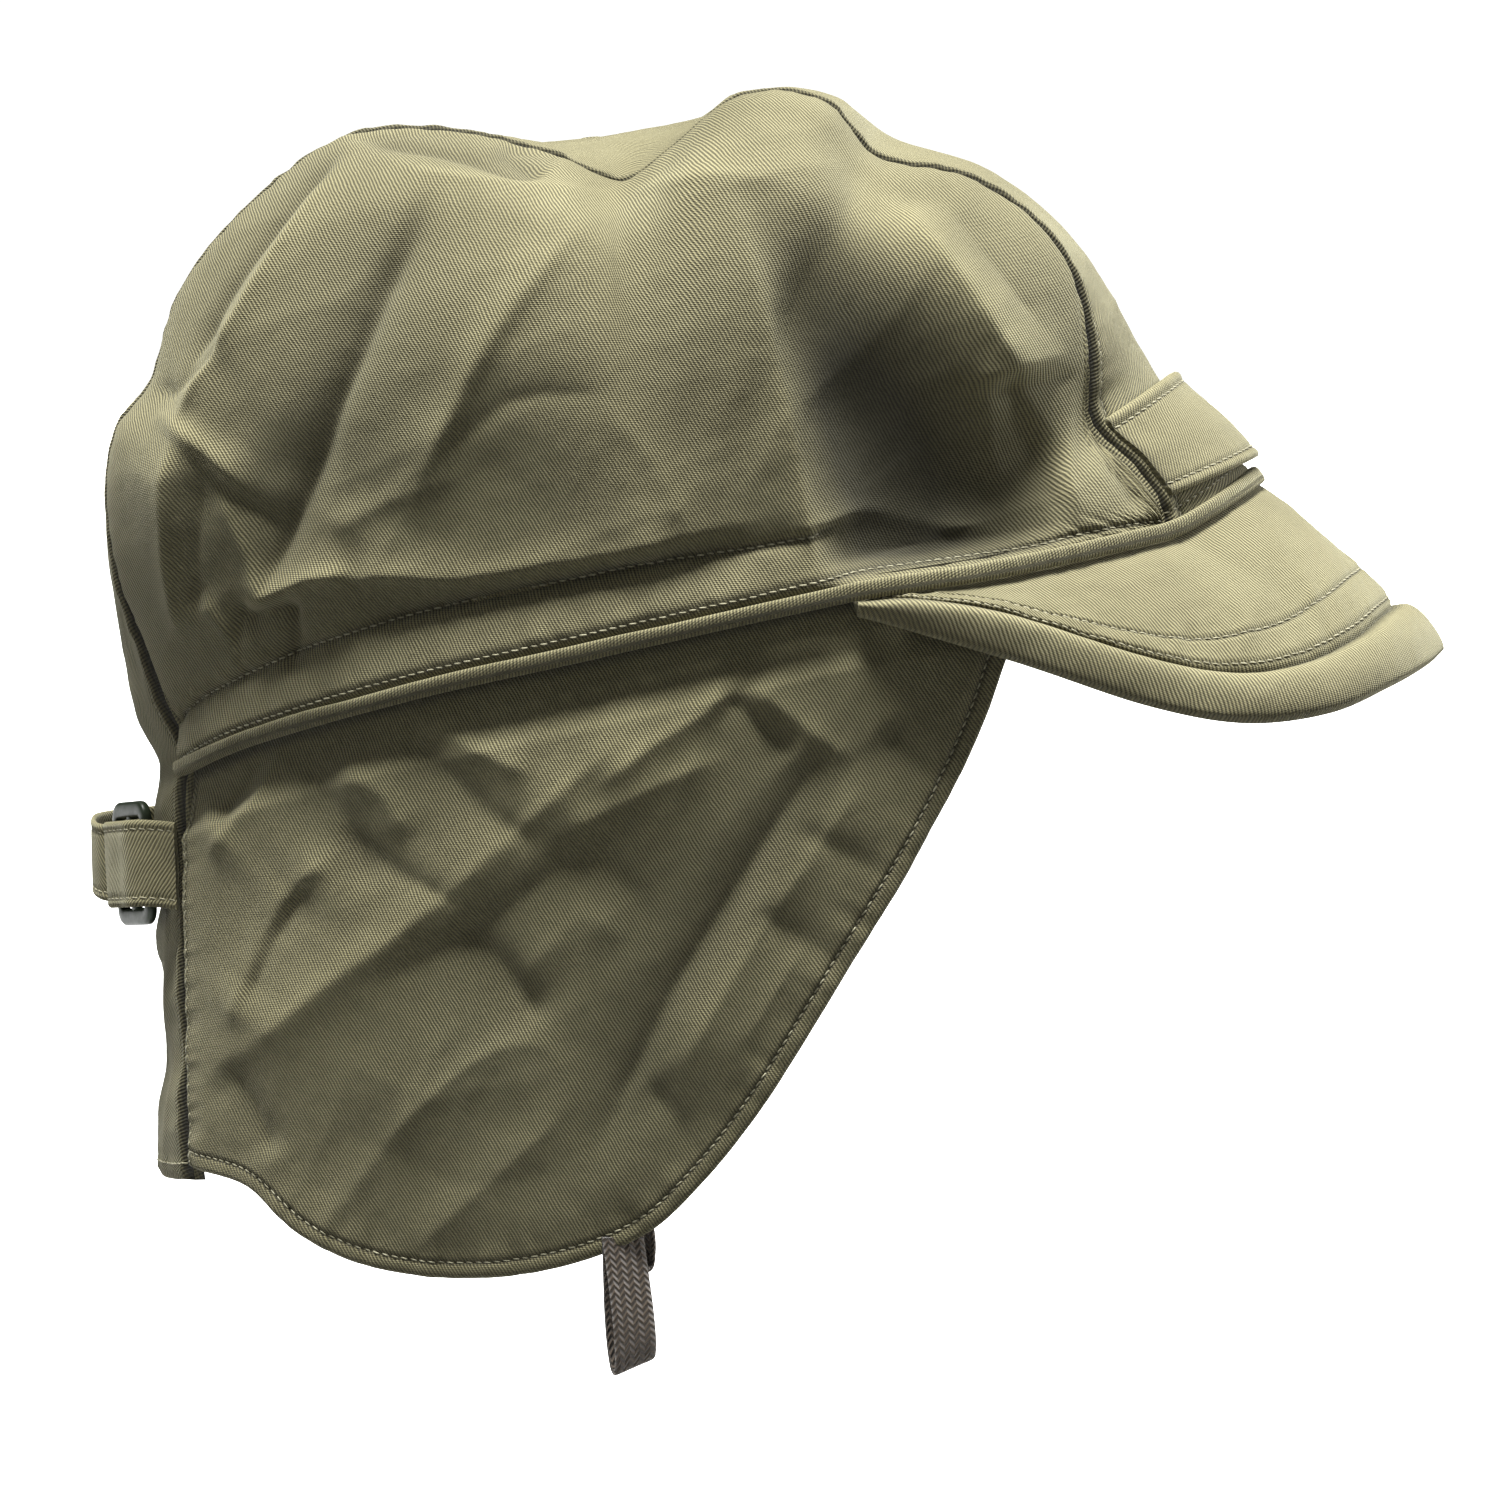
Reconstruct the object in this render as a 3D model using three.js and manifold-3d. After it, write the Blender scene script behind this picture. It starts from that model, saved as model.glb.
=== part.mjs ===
// An earflap cap of olive twill, with a soft peak, hanging flaps and an adjusting strap at the nape.
// Millimetres. +X points to the peak, +Y to the wearer's left, +Z up.
// The origin is the middle of the rim, where the cap sits on the head. The rim rises to the front,
// so the crown is worked out in a frame turned by RIM.tilt, and the flaps hang straight down.
import * as THREE from 'three';
import { mergeVertices } from 'three/addons/utils/BufferGeometryUtils.js';
import Module from 'manifold-3d';

const wasm = await Module();
wasm.setup();

// Driving dimensions
const RIM = { tilt: 14.7, halfWidth: 73, frontFoot: 102, rearFoot: -114, tuck: 4 };
const WALL = { crown: 2, flap: 2, peak: 2.4, tab: 1.3, strap: 1.2, tape: 1.5 };
const GAP = 0.3;
const PANEL_HALF_WIDTH = 30;
const FEET = { front: -3.4, rear: 181.5 };
const SEAM = { columns: 44, napeColumns: 8 };
const WELT = { high: 3.4, thick: 1.2, standOff: 0.75, seamShare: 0.12, stop: 1, columns: 100 };
const NECK = { seamX: -110.3, middleX: -120.4, seamEnd: 212.6, middleEnd: 210.8 };
const CROWN_BULGE = 6;
const HEAD_SPINE = { front: 40, rear: -45, height: 15, levelFrom: -20, levelOver: 30 };
const RIGHT = -1;
const LEFT = 1;

// A table is a list of rows with named columns.
function table(names, rows) {
  const keys = names.split(' ');
  return rows.map((row) => Object.fromEntries(keys.map((key, i) => [key, row[i]])));
}

// The crown's outline seen from the side: distances from the middle of the rim, turning from the
// front over the top to the nape, for the middle of the long centre panel and its two seams.
const OUTLINE = table('at middle right left', [
  [-4, 121, 102, 102],
  [0, 122, 103, 103],
  [6, 117, 100, 100],
  [13, 110.5, 96, 96],
  [21, 111, 104, 102],
  [31, 114, 111.5, 109],
  [43, 114.5, 112, 110],
  [54, 111.5, 107, 108],
  [61, 115.5, 114.5, 111],
  [70, 114.5, 112.5, 111],
  [77, 108, 102, 109],
  [84, 105, 95.5, 108],
  [91, 107, 103.5, 109],
  [100, 114, 115.5, 113],
  [110, 126, 127, 122],
  [122, 131, 130, 126],
  [132, 133, 130.5, 128],
  [141, 131, 127, 126],
  [147, 134, 130.5, 129],
  [158, 131.5, 126, 125],
  [170, 127.5, 118, 118],
  [180, 124.5, 114, 114],
]);

// How the side rounds off towards the seam: a low number is a wedge, a high one a square shoulder.
const SHOULDER = table('at along across', [
  [0, 2.2, 1.0],
  [40, 2.2, 1.5],
  [90, 2.3, 2.3],
  [140, 2.4, 1.8],
  [180, 2.5, 1.2],
]);

// The rim's height over its own plane, by place along the cap.
const RIM_HEIGHT = table('at height', [
  [-114, -3],
  [-92, 0.5],
  [-55, 2],
  [-20, 1.2],
  [38, -0.8],
  [68, -4],
  [102, -6],
]);

// The flap's free edge, from the bottom of the nape seam round to its top front corner.
const FLAP_EDGE = table('at x z', [
  [0, -110, -116.5],
  [0.08, -94, -118.5],
  [0.15, -81, -127.5],
  [0.22, -65, -133.2],
  [0.3, -47, -134.6],
  [0.39, -27, -131.8],
  [0.48, -7, -124.3],
  [0.56, 6, -112.5],
  [0.64, 18.5, -96.5],
  [0.76, 36, -68],
  [0.87, 51, -43],
  [0.95, 63, -19],
  [1, 72, 8],
]);

// The peak from its middle to its corner: the fold where its band turns down, and its free edge.
const PEAK = table('at foldX foldY foldZ edgeX edgeY edgeZ', [
  [0, 148.5, 0, 5, 161.5, 0, -2.5],
  [0.13, 146, 15, 3.5, 157.5, 16, -6],
  [0.27, 140, 29, -0.5, 149, 32, -11],
  [0.42, 129, 41, -5, 136, 46, -15.5],
  [0.57, 114, 50, -6.5, 118, 56, -17],
  [0.71, 94, 57.5, -2, 98, 62, -13.5],
  [0.85, 70, 63, 6, 72, 66.5, -5],
  [0.94, 50, 67.5, 9.5, 51, 69.5, 1.5],
  [1, 38.5, 69, 8.6, 38.5, 70, 5.6],
]);
const PEAK_ROOT = { seamShare: 0.32, cornerX: 38.5, camber: 2 };

// Folds and dents: place seen from the side, half length, heading in degrees, width and depth.
const CROWN_FOLDS = table('x z reach heading width depth', [
  [25, 58, 32, -76, 9, -5],
  [62, 66, 34, -50, 11, 3.5],
  [55, 40, 20, -62, 9, -4],
  [86, 34, 16, -70, 6, 2.5],
  [-99, 62, 34, 60, 7, 3],
  [-50, 50, 26, 55, 7, 2.5],
  [-80, 34, 38, 62, 9, 3],
  [-94, -4, 12, 70, 6, -3.5],
  [-4, 92, 36, 0, 6, 2.5],
  [-2, 20, 50, 14, 5, -2],
]);
const FLAP_FOLDS = table('x z reach heading width depth', [
  [-50, -44, 80, 39, 9, 5],
  [-18, -58, 34, 42, 10, -4],
  [-84, -38, 26, 66, 8, -3.5],
  [-75, -72, 30, 40, 9, -3],
  [22, -56, 70, 60, 7, -3],
  [2, -35, 20, 40, 8, 3.5],
]);

// The strap at the nape seen from above, and the buckle that it runs through.
const STRAP = { longHigh: 17, middleZ: -52.5 };
const BUCKLE = { wide: 27, long: 16, thick: 2.4, bar: 2.4, window: 19.4, corner: 2.5 };
const TAB = { bottomAngle: 2.4, topAngle: 13.6, standOff: 2.6, reach: 0.95 };
const TAPE = { wide: 9.2, drop: 25, open: 3.4, turn: 28, lean: 4 };
const TAPE_PLACE = { [RIGHT]: { share: 0.465, below: 2.2 }, [LEFT]: { share: 0.415, below: 1.5 } };

const OLIVE = { color: 0x6d6850, roughness: 0.82, metalness: 0 };
const OLIVE_LIGHT = { color: 0x75705a, roughness: 0.8, metalness: 0 };
const BRAID = { color: 0x463a2a, roughness: 0.9, metalness: 0 };
const PLASTIC = { color: 0x3f4d3a, roughness: 0.4, metalness: 0 };

const radians = THREE.MathUtils.degToRad;
const lerp = THREE.MathUtils.lerp;
const clamp = THREE.MathUtils.clamp;

// A smooth curve through one column of a table, read by the column named at.
function column(rows, key) {
  const slope = rows.map((row, i) => {
    const before = rows[Math.max(i - 1, 0)];
    const after = rows[Math.min(i + 1, rows.length - 1)];
    return (after[key] - before[key]) / (after.at - before.at);
  });
  return (place) => {
    let i = 0;
    while (i < rows.length - 2 && place > rows[i + 1].at) i += 1;
    const span = rows[i + 1].at - rows[i].at;
    const t = clamp((place - rows[i].at) / span, 0, 1);
    const keep = (1 + 2 * t) * (1 - t) ** 2;
    const bend = t * (1 - t) ** 2 * slope[i] - t ** 2 * (1 - t) * slope[i + 1];
    return keep * rows[i][key] + (1 - keep) * rows[i + 1][key] + span * bend;
  };
}

const middleRadius = column(OUTLINE, 'middle');
const seamRadii = { [RIGHT]: column(OUTLINE, 'right'), [LEFT]: column(OUTLINE, 'left') };
const shoulderAlong = column(SHOULDER, 'along');
const shoulderAcross = column(SHOULDER, 'across');
const rimHeight = column(RIM_HEIGHT, 'height');
const flapEdge = { x: column(FLAP_EDGE, 'x'), z: column(FLAP_EDGE, 'z') };
const peakMirrored = { ...PEAK[1], at: -PEAK[1].at, foldY: -PEAK[1].foldY, edgeY: -PEAK[1].edgeY };
const peakCurve = Object.fromEntries(
  ['foldX', 'foldY', 'foldZ', 'edgeX', 'edgeY', 'edgeZ']
    .map((key) => [key, column([peakMirrored, ...PEAK], key)]),
);

const tilt = radians(RIM.tilt);
const TILT_AXIS = new THREE.Vector3(0, -1, 0);

// From the rim's tilted frame to the cap's own.
function upright(x, y, z) {
  return new THREE.Vector3(x, y, z).applyAxisAngle(TILT_AXIS, tilt);
}

// Level way out, for the flaps and the nape.
function outwardLevel(point) {
  const spineX = clamp(point.x, HEAD_SPINE.rear, HEAD_SPINE.front);
  return new THREE.Vector3(point.x - spineX, point.y, 0).normalize();
}

// The way out of the head at a point, which every wall is thickened against.
function outward(point) {
  const away = point.clone().applyAxisAngle(TILT_AXIS, -tilt);
  const spineX = clamp(away.x, HEAD_SPINE.rear, HEAD_SPINE.front);
  away.sub(new THREE.Vector3(spineX, 0, HEAD_SPINE.height)).normalize();
  away.applyAxisAngle(TILT_AXIS, tilt);
  const hanging = clamp((HEAD_SPINE.levelFrom - point.z) / HEAD_SPINE.levelOver, 0, 1);
  return away.lerp(outwardLevel(point), hanging).normalize();
}

function seamRadius(side, angle) {
  if (angle <= 180) return seamRadii[side](angle);
  return NECK.seamX / Math.cos(radians(angle + RIM.tilt));
}

function panelMiddle(angle) {
  if (angle <= 180) return middleRadius(angle);
  return NECK.middleX / Math.cos(radians(angle + RIM.tilt));
}

// How far the crown's side stands from the middle plane, at a place in the rim's frame.
function sideReach(side, x, z) {
  const turned = THREE.MathUtils.radToDeg(Math.atan2(z, x));
  const angle = clamp(turned < -90 ? turned + 360 : turned, FEET.front, FEET.rear);
  const share = Math.min(Math.hypot(x, z) / seamRadius(side, angle), 1);
  const rounding = (1 - share ** shoulderAlong(angle)) ** (1 / shoulderAcross(angle));
  const seam = PANEL_HALF_WIDTH + GAP;
  const bulge = CROWN_BULGE * Math.sin(radians(clamp(angle, 0, 180))) * 4 * share * (1 - share);
  return seam + (RIM.halfWidth - seam) * rounding + bulge;
}

// The sum of all folds at a place seen from the side.
function foldDepth(folds, x, z) {
  let sum = 0;
  for (const fold of folds) {
    const heading = radians(fold.heading);
    const dx = x - fold.x;
    const dz = z - fold.z;
    const alongFold = (dx * Math.cos(heading) + dz * Math.sin(heading)) / fold.reach;
    const overFold = (dz * Math.cos(heading) - dx * Math.sin(heading)) / fold.width;
    sum += fold.depth * Math.exp(-(overFold ** 2) - alongFold ** 4);
  }
  return sum;
}

// Fades from 0 at a panel's edges to 1 inside it.
function fade(share, margin) {
  const t = clamp(Math.min(share, 1 - share) / margin, 0, 1);
  return t * t * (3 - 2 * t);
}

// One closed shell: a grid of points, and the same grid moved inwards by the wall.
function shell(point, inward, columns, rows) {
  const outer = [];
  for (let j = 0; j <= rows; j += 1) {
    for (let i = 0; i <= columns; i += 1) outer.push(point(i / columns, j / rows));
  }
  const inner = outer.map((p, k) => {
    const i = k % (columns + 1);
    const j = Math.floor(k / (columns + 1));
    return p.clone().add(inward(p, i / columns, j / rows));
  });
  const points = [...outer, ...inner];
  const faces = [];
  const at = (i, j, layer) => layer * outer.length + j * (columns + 1) + i;
  const quad = (a, b, c, d) => faces.push([a, b, c], [a, c, d]);
  for (let j = 0; j < rows; j += 1) {
    for (let i = 0; i < columns; i += 1) {
      quad(at(i, j, 0), at(i + 1, j, 0), at(i + 1, j + 1, 0), at(i, j + 1, 0));
      quad(at(i, j, 1), at(i, j + 1, 1), at(i + 1, j + 1, 1), at(i + 1, j, 1));
    }
  }
  for (let i = 0; i < columns; i += 1) {
    quad(at(i, 0, 0), at(i, 0, 1), at(i + 1, 0, 1), at(i + 1, 0, 0));
    quad(at(i, rows, 0), at(i + 1, rows, 0), at(i + 1, rows, 1), at(i, rows, 1));
  }
  for (let j = 0; j < rows; j += 1) {
    quad(at(0, j, 0), at(0, j + 1, 0), at(0, j + 1, 1), at(0, j, 1));
    quad(at(columns, j, 0), at(columns, j, 1), at(columns, j + 1, 1), at(columns, j + 1, 0));
  }
  return closed(points, faces);
}

// Joins points that fall together, drops faces that vanish, and turns the faces outwards.
function closed(points, faces) {
  const known = new Map();
  const kept = [];
  const index = points.map((p) => {
    const key = [p.x, p.y, p.z].map((value) => Math.round(value * 1e4)).join();
    if (!known.has(key)) {
      known.set(key, kept.length);
      kept.push(p);
    }
    return known.get(key);
  });
  const solid = faces
    .map((face) => face.map((corner) => index[corner]))
    .filter(([a, b, c]) => a !== b && b !== c && c !== a);
  let volume = 0;
  for (const [a, b, c] of solid) volume += kept[a].dot(kept[b].clone().cross(kept[c]));
  if (volume < 0) solid.forEach((face) => face.reverse());
  const geometry = new THREE.BufferGeometry().setFromPoints(kept);
  geometry.setIndex(solid.flat());
  geometry.computeVertexNormals();
  return geometry;
}

function piece(name, geometry, look) {
  const mesh = new THREE.Mesh(geometry, new THREE.MeshStandardMaterial(look));
  mesh.name = name;
  return mesh;
}

// The crown's side, a lens between the rim and the seam to the centre panel.
function crownSidePoint(side, u, v) {
  const angle = lerp(FEET.rear, FEET.front, u);
  const radius = seamRadius(side, angle);
  const rimX = lerp(RIM.rearFoot, RIM.frontFoot, u);
  const share = Math.sin((v * Math.PI) / 2);
  const x = lerp(rimX, radius * Math.cos(radians(angle)), share);
  const z = lerp(rimHeight(rimX), radius * Math.sin(radians(angle)), share);
  const point = upright(x, side * sideReach(side, x, z), z);
  const depth = foldDepth(CROWN_FOLDS, point.x, point.z) * fade(v, 0.2) * fade(u, 0.08);
  return point.addScaledVector(outward(point), depth);
}

function crownSide(name, side) {
  const inward = (point) => outward(point).multiplyScalar(-WALL.crown);
  const point = (u, v) => crownSidePoint(side, u, v);
  return piece(name, shell(point, inward, SEAM.columns, 10), OLIVE);
}

// The long panel from the brow over the top and down to the bottom of the nape.
function centrePoint(share, across) {
  const seamShare = across * across;
  const crownShare = SEAM.columns / (SEAM.columns + SEAM.napeColumns);
  const napeEnd = lerp(NECK.middleEnd, NECK.seamEnd, seamShare);
  const angle = share <= crownShare
    ? lerp(FEET.front * seamShare, FEET.rear, share / crownShare)
    : lerp(FEET.rear, napeEnd, (share - crownShare) / (1 - crownShare));
  const right = seamRadius(RIGHT, angle);
  const left = seamRadius(LEFT, angle);
  const bow = panelMiddle(angle) - (right + left) / 2;
  const radius = lerp(right, left, (across + 1) / 2) + bow * (1 - seamShare);
  const turned = radians(angle);
  return upright(radius * Math.cos(turned), across * PANEL_HALF_WIDTH, radius * Math.sin(turned));
}

function centrePanel() {
  const inward = (point) => outward(point).multiplyScalar(-WALL.crown);
  const point = (u, v) => centrePoint(u, 2 * v - 1);
  const columns = SEAM.columns + SEAM.napeColumns;
  return piece('centre_panel', shell(point, inward, columns, 4), OLIVE);
}

// How far a flap hangs from the middle plane.
function flapReach(side, x, z) {
  const seam = PANEL_HALF_WIDTH + 3 * GAP;
  const plan = Math.max(sideReach(side, x / Math.cos(tilt), 0), seam);
  const depth = clamp(-z / 130, 0, 1.2);
  const fromSeam = clamp((x - NECK.seamX) / 70, 0, 1);
  const hug = (side === RIGHT ? 0.13 : 0.17) * depth ** 1.5 * fromSeam * (2 - fromSeam);
  return plan * (1 - hug);
}

function flapPoint(side, u, v) {
  const rimX = lerp(RIM.rearFoot, 72, u);
  const top = upright(rimX, 0, rimHeight(rimX) + RIM.tuck);
  const sweep = side === LEFT ? -14 * Math.sin(Math.PI * clamp((u - 0.3) / 1.2, 0, 1)) : 0;
  const x = lerp(top.x, flapEdge.x(u) + sweep, v);
  const z = lerp(top.z, flapEdge.z(u), v);
  const point = new THREE.Vector3(x, side * flapReach(side, x, z), z);
  const below = top.z - RIM.tuck - z;
  const inset = (WALL.crown + 3 * GAP) * (1 - clamp(below / 14, 0, 1) ** 2);
  const depth = foldDepth(FLAP_FOLDS, point.x, point.z) * fade(v, 0.2) * fade(u, 0.1);
  return point.addScaledVector(outwardLevel(point), depth - inset);
}

function flap(name, side) {
  const inward = (point) => outwardLevel(point).multiplyScalar(-WALL.flap);
  const point = (u, v) => flapPoint(side, u, v);
  return piece(name, shell(point, inward, 20, 11), OLIVE);
}

// A point near the crown's lower edge, from the middle of the brow (0) round to a place along the
// side (1 or -1), and some way up the cloth.
function rimPoint(share, seamShare, endX, up) {
  const side = share < 0 ? RIGHT : LEFT;
  const reach = Math.abs(share);
  if (reach <= seamShare) {
    const across = (side * reach) / seamShare;
    const point = centrePoint(0, across);
    return point.lerp(centrePoint(1 / SEAM.columns, across), up / SEAM_STEP_LENGTH);
  }
  const beyond = (reach - seamShare) / (1 - seamShare);
  const x = lerp(RIM.frontFoot, endX, beyond);
  const z = rimHeight(x) + up;
  return upright(x, side * sideReach(side, x, z), z);
}

// The folded welt on the outside of the crown's edge, from one nape seam round the brow to the other.
function rimWelt() {
  const point = (u, v) => {
    const edge = rimPoint(2 * u - 1, WELT.seamShare, RIM.rearFoot + WELT.stop, v * WELT.high);
    return edge.addScaledVector(outward(edge), WELT.standOff + WELT.thick);
  };
  const inward = (p) => outward(p).multiplyScalar(-WELT.thick);
  return piece('rim_welt', shell(point, inward, WELT.columns, 2), OLIVE_LIGHT);
}

const SEAM_STEP_LENGTH = 7.5;
const PEAK_STEPS = [0, 0.2, 0.42, 0.62, 0.74, 0.84, 0.93, 1];
const PEAK_FOLD_SHARE = 0.74;

function peakPoint(share, v) {
  const side = Math.sign(share);
  const reach = Math.abs(share);
  const root = rimPoint(share, PEAK_ROOT.seamShare, PEAK_ROOT.cornerX, 0);
  root.z -= GAP;
  const fold = new THREE.Vector3(
    peakCurve.foldX(reach), side * peakCurve.foldY(reach), peakCurve.foldZ(reach));
  const edge = new THREE.Vector3(
    peakCurve.edgeX(reach), side * peakCurve.edgeY(reach), peakCurve.edgeZ(reach));
  if (v <= PEAK_FOLD_SHARE) {
    const t = v / PEAK_FOLD_SHARE;
    const camber = PEAK_ROOT.camber * 4 * t * (1 - t) * (1 - reach ** 4);
    return root.lerp(fold, t).add(new THREE.Vector3(0, 0, camber));
  }
  return fold.lerp(edge, (v - PEAK_FOLD_SHARE) / (1 - PEAK_FOLD_SHARE));
}

function peak() {
  const steps = PEAK_STEPS.length - 1;
  const place = (u, v) => [2 * u - 1, PEAK_STEPS[Math.round(v * steps)]];
  const inward = (point, u, v) => {
    const [share, run] = place(u, v);
    const small = 1e-3;
    const run0 = Math.min(run, 1 - small);
    const along = peakPoint(Math.min(share, 1 - small) + small, run0)
      .sub(peakPoint(Math.min(share, 1 - small), run0));
    const down = peakPoint(share, run0 + small).sub(peakPoint(share, run0));
    const under = along.cross(down).normalize();
    if (under.z > 0) under.negate();
    if (run < 0.1) under.set(0, 0, -1).addScaledVector(outward(point), -0.4).normalize();
    return under.multiplyScalar(WALL.peak);
  };
  const point = (u, v) => peakPoint(...place(u, v));
  return piece('peak', shell(point, inward, 24, steps), OLIVE_LIGHT);
}

// The wide loop across the brow, sewn down at the two seams and open above and below.
function browTab() {
  const point = (u, v) => {
    const across = (2 * u - 1) * TAB.reach;
    const angle = radians(lerp(TAB.bottomAngle, TAB.topAngle, v) - 1.2 * across * across);
    const radius = panelAt(angle, across) + GAP + TAB.standOff * (1 - across ** 4) + WALL.tab;
    return upright(radius * Math.cos(angle), across * PANEL_HALF_WIDTH, radius * Math.sin(angle));
  };
  const inward = (p) => outward(p).multiplyScalar(-WALL.tab);
  return piece('brow_tab', shell(point, inward, 14, 3), OLIVE_LIGHT);
}

function panelAt(angle, across) {
  const degrees = THREE.MathUtils.radToDeg(angle);
  const seam = seamRadius(RIGHT, degrees);
  return seam + (panelMiddle(degrees) - seam) * (1 - across * across);
}

// A strip of cloth on edge: a path seen from above, given a thickness and a height.
function strip(path, thick, low, high) {
  const sideOf = (distance) => path.map((p, i) => {
    const before = path[Math.max(i - 1, 0)];
    const after = path[Math.min(i + 1, path.length - 1)];
    const run = after.clone().sub(before).normalize();
    return new THREE.Vector2(p.x - run.y * distance, p.y + run.x * distance);
  });
  const shape = new THREE.Shape([...sideOf(thick / 2), ...sideOf(-thick / 2).reverse()]);
  const geometry = new THREE.ExtrudeGeometry(shape, { depth: high - low, bevelEnabled: false });
  return geometry.translate(0, 0, low);
}

// Points along a smooth line seen from above.
function smoothPath(points, count) {
  const line = new THREE.SplineCurve(points.map(([x, y]) => new THREE.Vector2(x, y)));
  return line.getPoints(count);
}

// The buckle lies flat between the two straps. Its own long way is u, and its thickness n.
const BUCKLE_PLACE = { x: -123.5, y: -17.5, heading: 128 };

function bucklePoint(u, n) {
  const heading = radians(BUCKLE_PLACE.heading);
  return [
    BUCKLE_PLACE.x + u * Math.cos(heading) - n * Math.sin(heading),
    BUCKLE_PLACE.y + u * Math.sin(heading) + n * Math.cos(heading),
  ];
}

function solid(geometry) {
  const bare = geometry.clone();
  bare.deleteAttribute('normal');
  bare.deleteAttribute('uv');
  const merged = mergeVertices(bare, 1e-4);
  const vertProperties = merged.attributes.position.array;
  const triVerts = new Uint32Array(merged.index.array);
  return new wasm.Manifold(new wasm.Mesh({ numProp: 3, vertProperties, triVerts }));
}

function cutAway(geometry, cutters) {
  const left = cutters.reduce((body, cutter) => body.subtract(solid(cutter)), solid(geometry));
  const mesh = left.getMesh();
  const cut = new THREE.BufferGeometry();
  cut.setAttribute('position', new THREE.BufferAttribute(mesh.vertProperties, 3));
  cut.setIndex(new THREE.BufferAttribute(mesh.triVerts, 1));
  cut.computeVertexNormals();
  return cut;
}

function buckle() {
  const long = BUCKLE.long / 2;
  const wide = BUCKLE.wide / 2;
  const cut = BUCKLE.corner;
  const frame = new THREE.Shape([
    [-long + cut, -wide], [long - cut, -wide], [long, -wide + cut], [long, wide - cut],
    [long - cut, wide], [-long + cut, wide], [-long, wide - cut], [-long, -wide + cut],
  ].map(([x, y]) => new THREE.Vector2(x, y)));
  const whole = new THREE.ExtrudeGeometry(frame, { depth: BUCKLE.thick, bevelEnabled: false });
  const slotLong = long - 1.5 * BUCKLE.bar;
  const slots = [-1, 1].map((end) => new THREE.BoxGeometry(slotLong, BUCKLE.window, 3 * BUCKLE.thick)
    .translate((end * (slotLong + BUCKLE.bar)) / 2, 0, BUCKLE.thick / 2));
  const geometry = cutAway(whole, slots);
  geometry.translate(0, 0, -BUCKLE.thick / 2).rotateX(Math.PI / 2);
  geometry.rotateZ(radians(BUCKLE_PLACE.heading));
  geometry.translate(BUCKLE_PLACE.x, BUCKLE_PLACE.y, STRAP.middleZ);
  return piece('buckle', geometry, PLASTIC);
}

// The short strap: out of the right nape seam, over the buckle, round its rear bar and back.
function shortStrap() {
  const path = [
    [-8.5, 4.3], [-2, 4.1], [4, 3.7], [7.3, 2.9], [8.8, 1.85], [9.15, 0.6], [9, -0.9], [8.4, -1.95],
    [7, -2.25], [5.6, -2.2], [4.75, -1.6], [4.6, -0.5], [4.6, 0.7], [4.1, 1.75], [3, 2.2], [-4, 2.2],
  ].map(([u, n]) => new THREE.Vector2(...bucklePoint(u, n)));
  path.unshift(new THREE.Vector2(NECK.seamX - 0.9, -PANEL_HALF_WIDTH - 1));
  const half = BUCKLE.window / 2 - GAP;
  return piece(
    'strap_short', strip(path, WALL.strap, STRAP.middleZ - half, STRAP.middleZ + half), OLIVE_LIGHT);
}

// The long strap: from the left nape seam round the back and under the buckle to its front bar.
function longStrap() {
  const path = smoothPath([
    [NECK.seamX - 0.9, PANEL_HALF_WIDTH + 1], [-120, 29.5], [-130, 22], [-136, 12], [-137.2, 3],
    [-133.8, -4.6], bucklePoint(9.5, -3.6), bucklePoint(5, -3.9), bucklePoint(-4, -3.9),
    bucklePoint(-6.4, -3.4),
  ], 26);
  path.push(
    new THREE.Vector2(...bucklePoint(-8.6, -1.9)),
    new THREE.Vector2(...bucklePoint(-9.1, -0.2)),
    new THREE.Vector2(...bucklePoint(-9, 1)),
  );
  const low = STRAP.middleZ - STRAP.longHigh / 2;
  return piece('strap_long', strip(path, WALL.strap, low, low + STRAP.longHigh), OLIVE_LIGHT);
}

// A folded loop of flat braid, hanging from a flap's lower edge.
function tapeLoop(name, side) {
  const { share, below } = TAPE_PLACE[side];
  const top = flapPoint(side, share, 1);
  const inside = outwardLevel(top).multiplyScalar(-WALL.flap / 2);
  const half = WALL.tape + GAP / 2;
  const outline = new THREE.Shape([
    [-half, 0], [half, 0], [TAPE.open / 2 + WALL.tape, -TAPE.drop * 0.5],
    [TAPE.open / 2 + WALL.tape, -TAPE.drop * 0.8], [TAPE.open / 4 + WALL.tape, -TAPE.drop * 0.95],
    [0, -TAPE.drop], [-TAPE.open / 4 - WALL.tape, -TAPE.drop * 0.95],
    [-TAPE.open / 2 - WALL.tape, -TAPE.drop * 0.8], [-TAPE.open / 2 - WALL.tape, -TAPE.drop * 0.5],
  ].map(([x, y]) => new THREE.Vector2(x, y)));
  outline.holes.push(new THREE.Path([
    [0, -TAPE.drop * 0.12], [-TAPE.open / 2, -TAPE.drop * 0.5], [-TAPE.open / 2, -TAPE.drop * 0.78],
    [0, -TAPE.drop + WALL.tape], [TAPE.open / 2, -TAPE.drop * 0.78], [TAPE.open / 2, -TAPE.drop * 0.5],
  ].map(([x, y]) => new THREE.Vector2(x, y))));
  const geometry = new THREE.ExtrudeGeometry(outline, { depth: TAPE.wide, bevelEnabled: false });
  geometry.translate(0, 0, -TAPE.wide / 2).rotateX(Math.PI / 2).rotateZ(Math.PI / 2);
  geometry.rotateY(radians(-TAPE.lean));
  geometry.rotateZ(radians(-side * TAPE.turn));
  geometry.translate(top.x + inside.x, top.y + inside.y, top.z - below);
  return piece(name, geometry, BRAID);
}

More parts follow.
